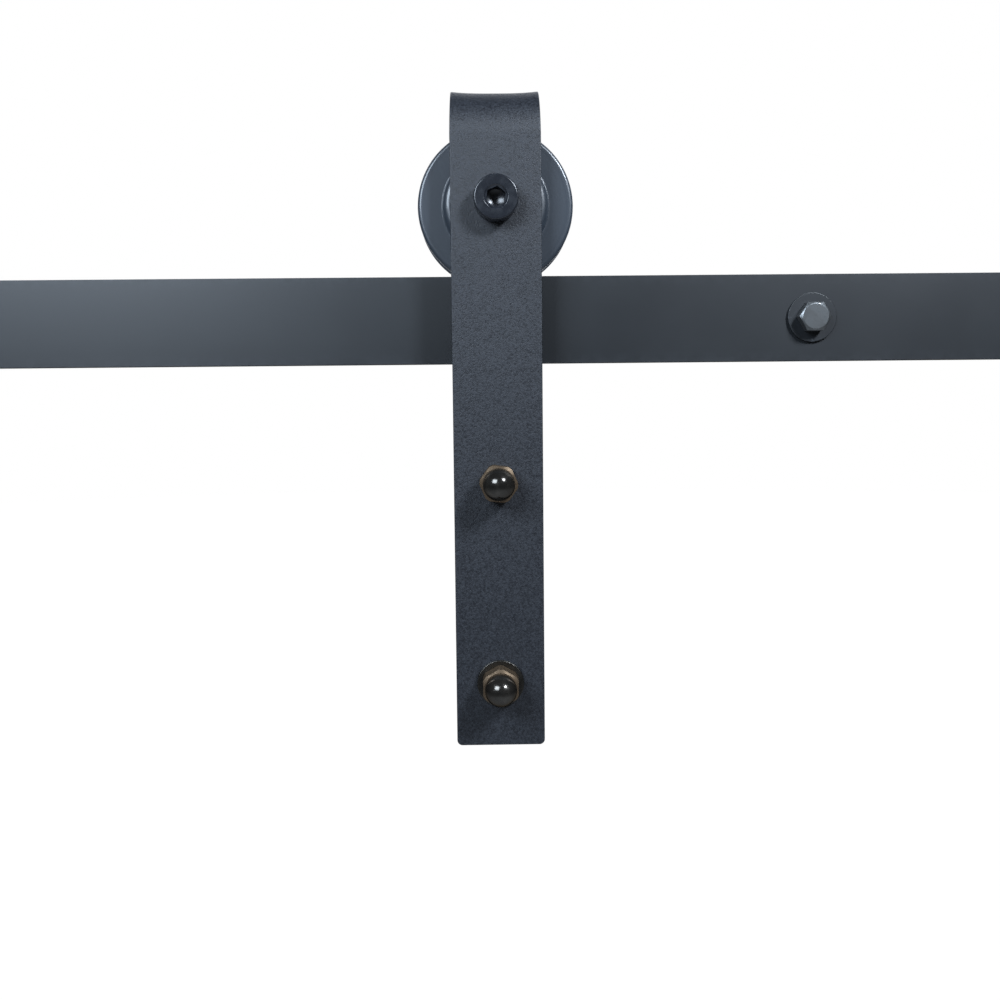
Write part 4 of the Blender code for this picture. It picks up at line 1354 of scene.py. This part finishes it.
acornNut = {
    "acrossFlats": 0.0159, "hexHeight": 0.0095, "dome": 0.0071, "bore": 0.00505, "boreDepth": 0.0135,
    "borePoint": 0.002, "mouthChamfer": 0.0008, "domeFoot": 0.002, "domeSteps": 24,
    "edge": 0.00018, "topCut": 0.0016, "girth": 0.0086, "turns": {"upper": 23.5, "lower": 0.0},
}


def makeAcornNuts():
    n = acornNut
    for name, turn in n["turns"].items():
        node = "acorn_nut_" + name
        low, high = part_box(node)
        height = high.y - low.y
        nut = makeHexHead(
            "acornNut_" + name, n["acrossFlats"], 0, n["hexHeight"], math.radians(turn),
            n["topCut"], 0, n["girth"],
        )
        centre = height - n["dome"]
        mouth = n["mouthChamfer"]
        quarter = [math.pi / 2 * step / n["domeSteps"] for step in range(n["domeSteps"] + 1)]
        outline = [(n["dome"] * math.sin(t), centre + n["dome"] * math.cos(t)) for t in quarter]
        outline += [(n["dome"], n["domeFoot"]), (0, n["domeFoot"])]
        useBoolean(nut, latheTurn("dome", outline, steps=128), "UNION")
        bore = latheTurn(
            "boreCutter",
            [(0, n["boreDepth"]), (n["bore"], n["boreDepth"] - n["borePoint"]), (n["bore"], mouth),
             (n["bore"] + mouth, 0), (n["bore"] + mouth, -cutterExcess), (0, -cutterExcess)],
        )
        useBoolean(nut, bore, "DIFFERENCE")
        roundEdges(nut, n["edge"], 2, limit=25)
        standFor(finishPiece(nut, placeAt(node, high.y), toFront, sharpAngle), node, nutNickel)


def makeDoorWashers():
    bore = acornNut["bore"]
    rows = [("door_washer_lower", "frontWasher", washers["doorEdge"])]
    for name in ("upper", "lower"):
        rows.append(("door_back_washer_" + name, "backWasher_" + name, washers["backEdge"]))
    for node, name, edge in rows:
        low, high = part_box(node)
        ring = tubeTurn(name, bore, (high.x - low.x) / 2, 0, high.y - low.y, edge)
        standFor(finishPiece(ring, placeAt(node, high.y), toFront), node, plateNickel)


doorBolt = {
    "shank": 0.00475, "headHeight": 0.0062, "acrossFlats": 0.0143, "threadDepth": 0.0008,
    "pitch": 0.0016, "threadLength": 0.026, "runOut": 0.0006, "tipChamfer": 0.001,
    "headTurn": 30.0, "bottomCut": 0.0007, "edge": 0.00015,
}


def makeDoorBolts():
    d = doorBolt
    for name in ("upper", "lower"):
        node = "door_bolt_" + name
        low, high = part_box(node)
        seatY = high.y - d["headHeight"]
        tip = seatY - low.y
        threadLow = tip - d["threadLength"]
        shank = d["shank"]
        envelope = [(0, tip), (shank, tip), (shank, threadLow), (0, threadLow)]
        bolt = makeHexBolt(
            "doorBolt_" + name, d, -d["headHeight"], 0, (0, d["bottomCut"]),
            (threadLow + overlap, -overlap), envelope, [(1, d["tipChamfer"], 1)], (threadLow, tip),
        )
        standFor(finishPiece(bolt, placeAt(node, seatY), toFront, sharpAngle), node, plateNickel)


makeAcornNuts()
makeDoorWashers()
makeDoorBolts()
print("door bolts made")
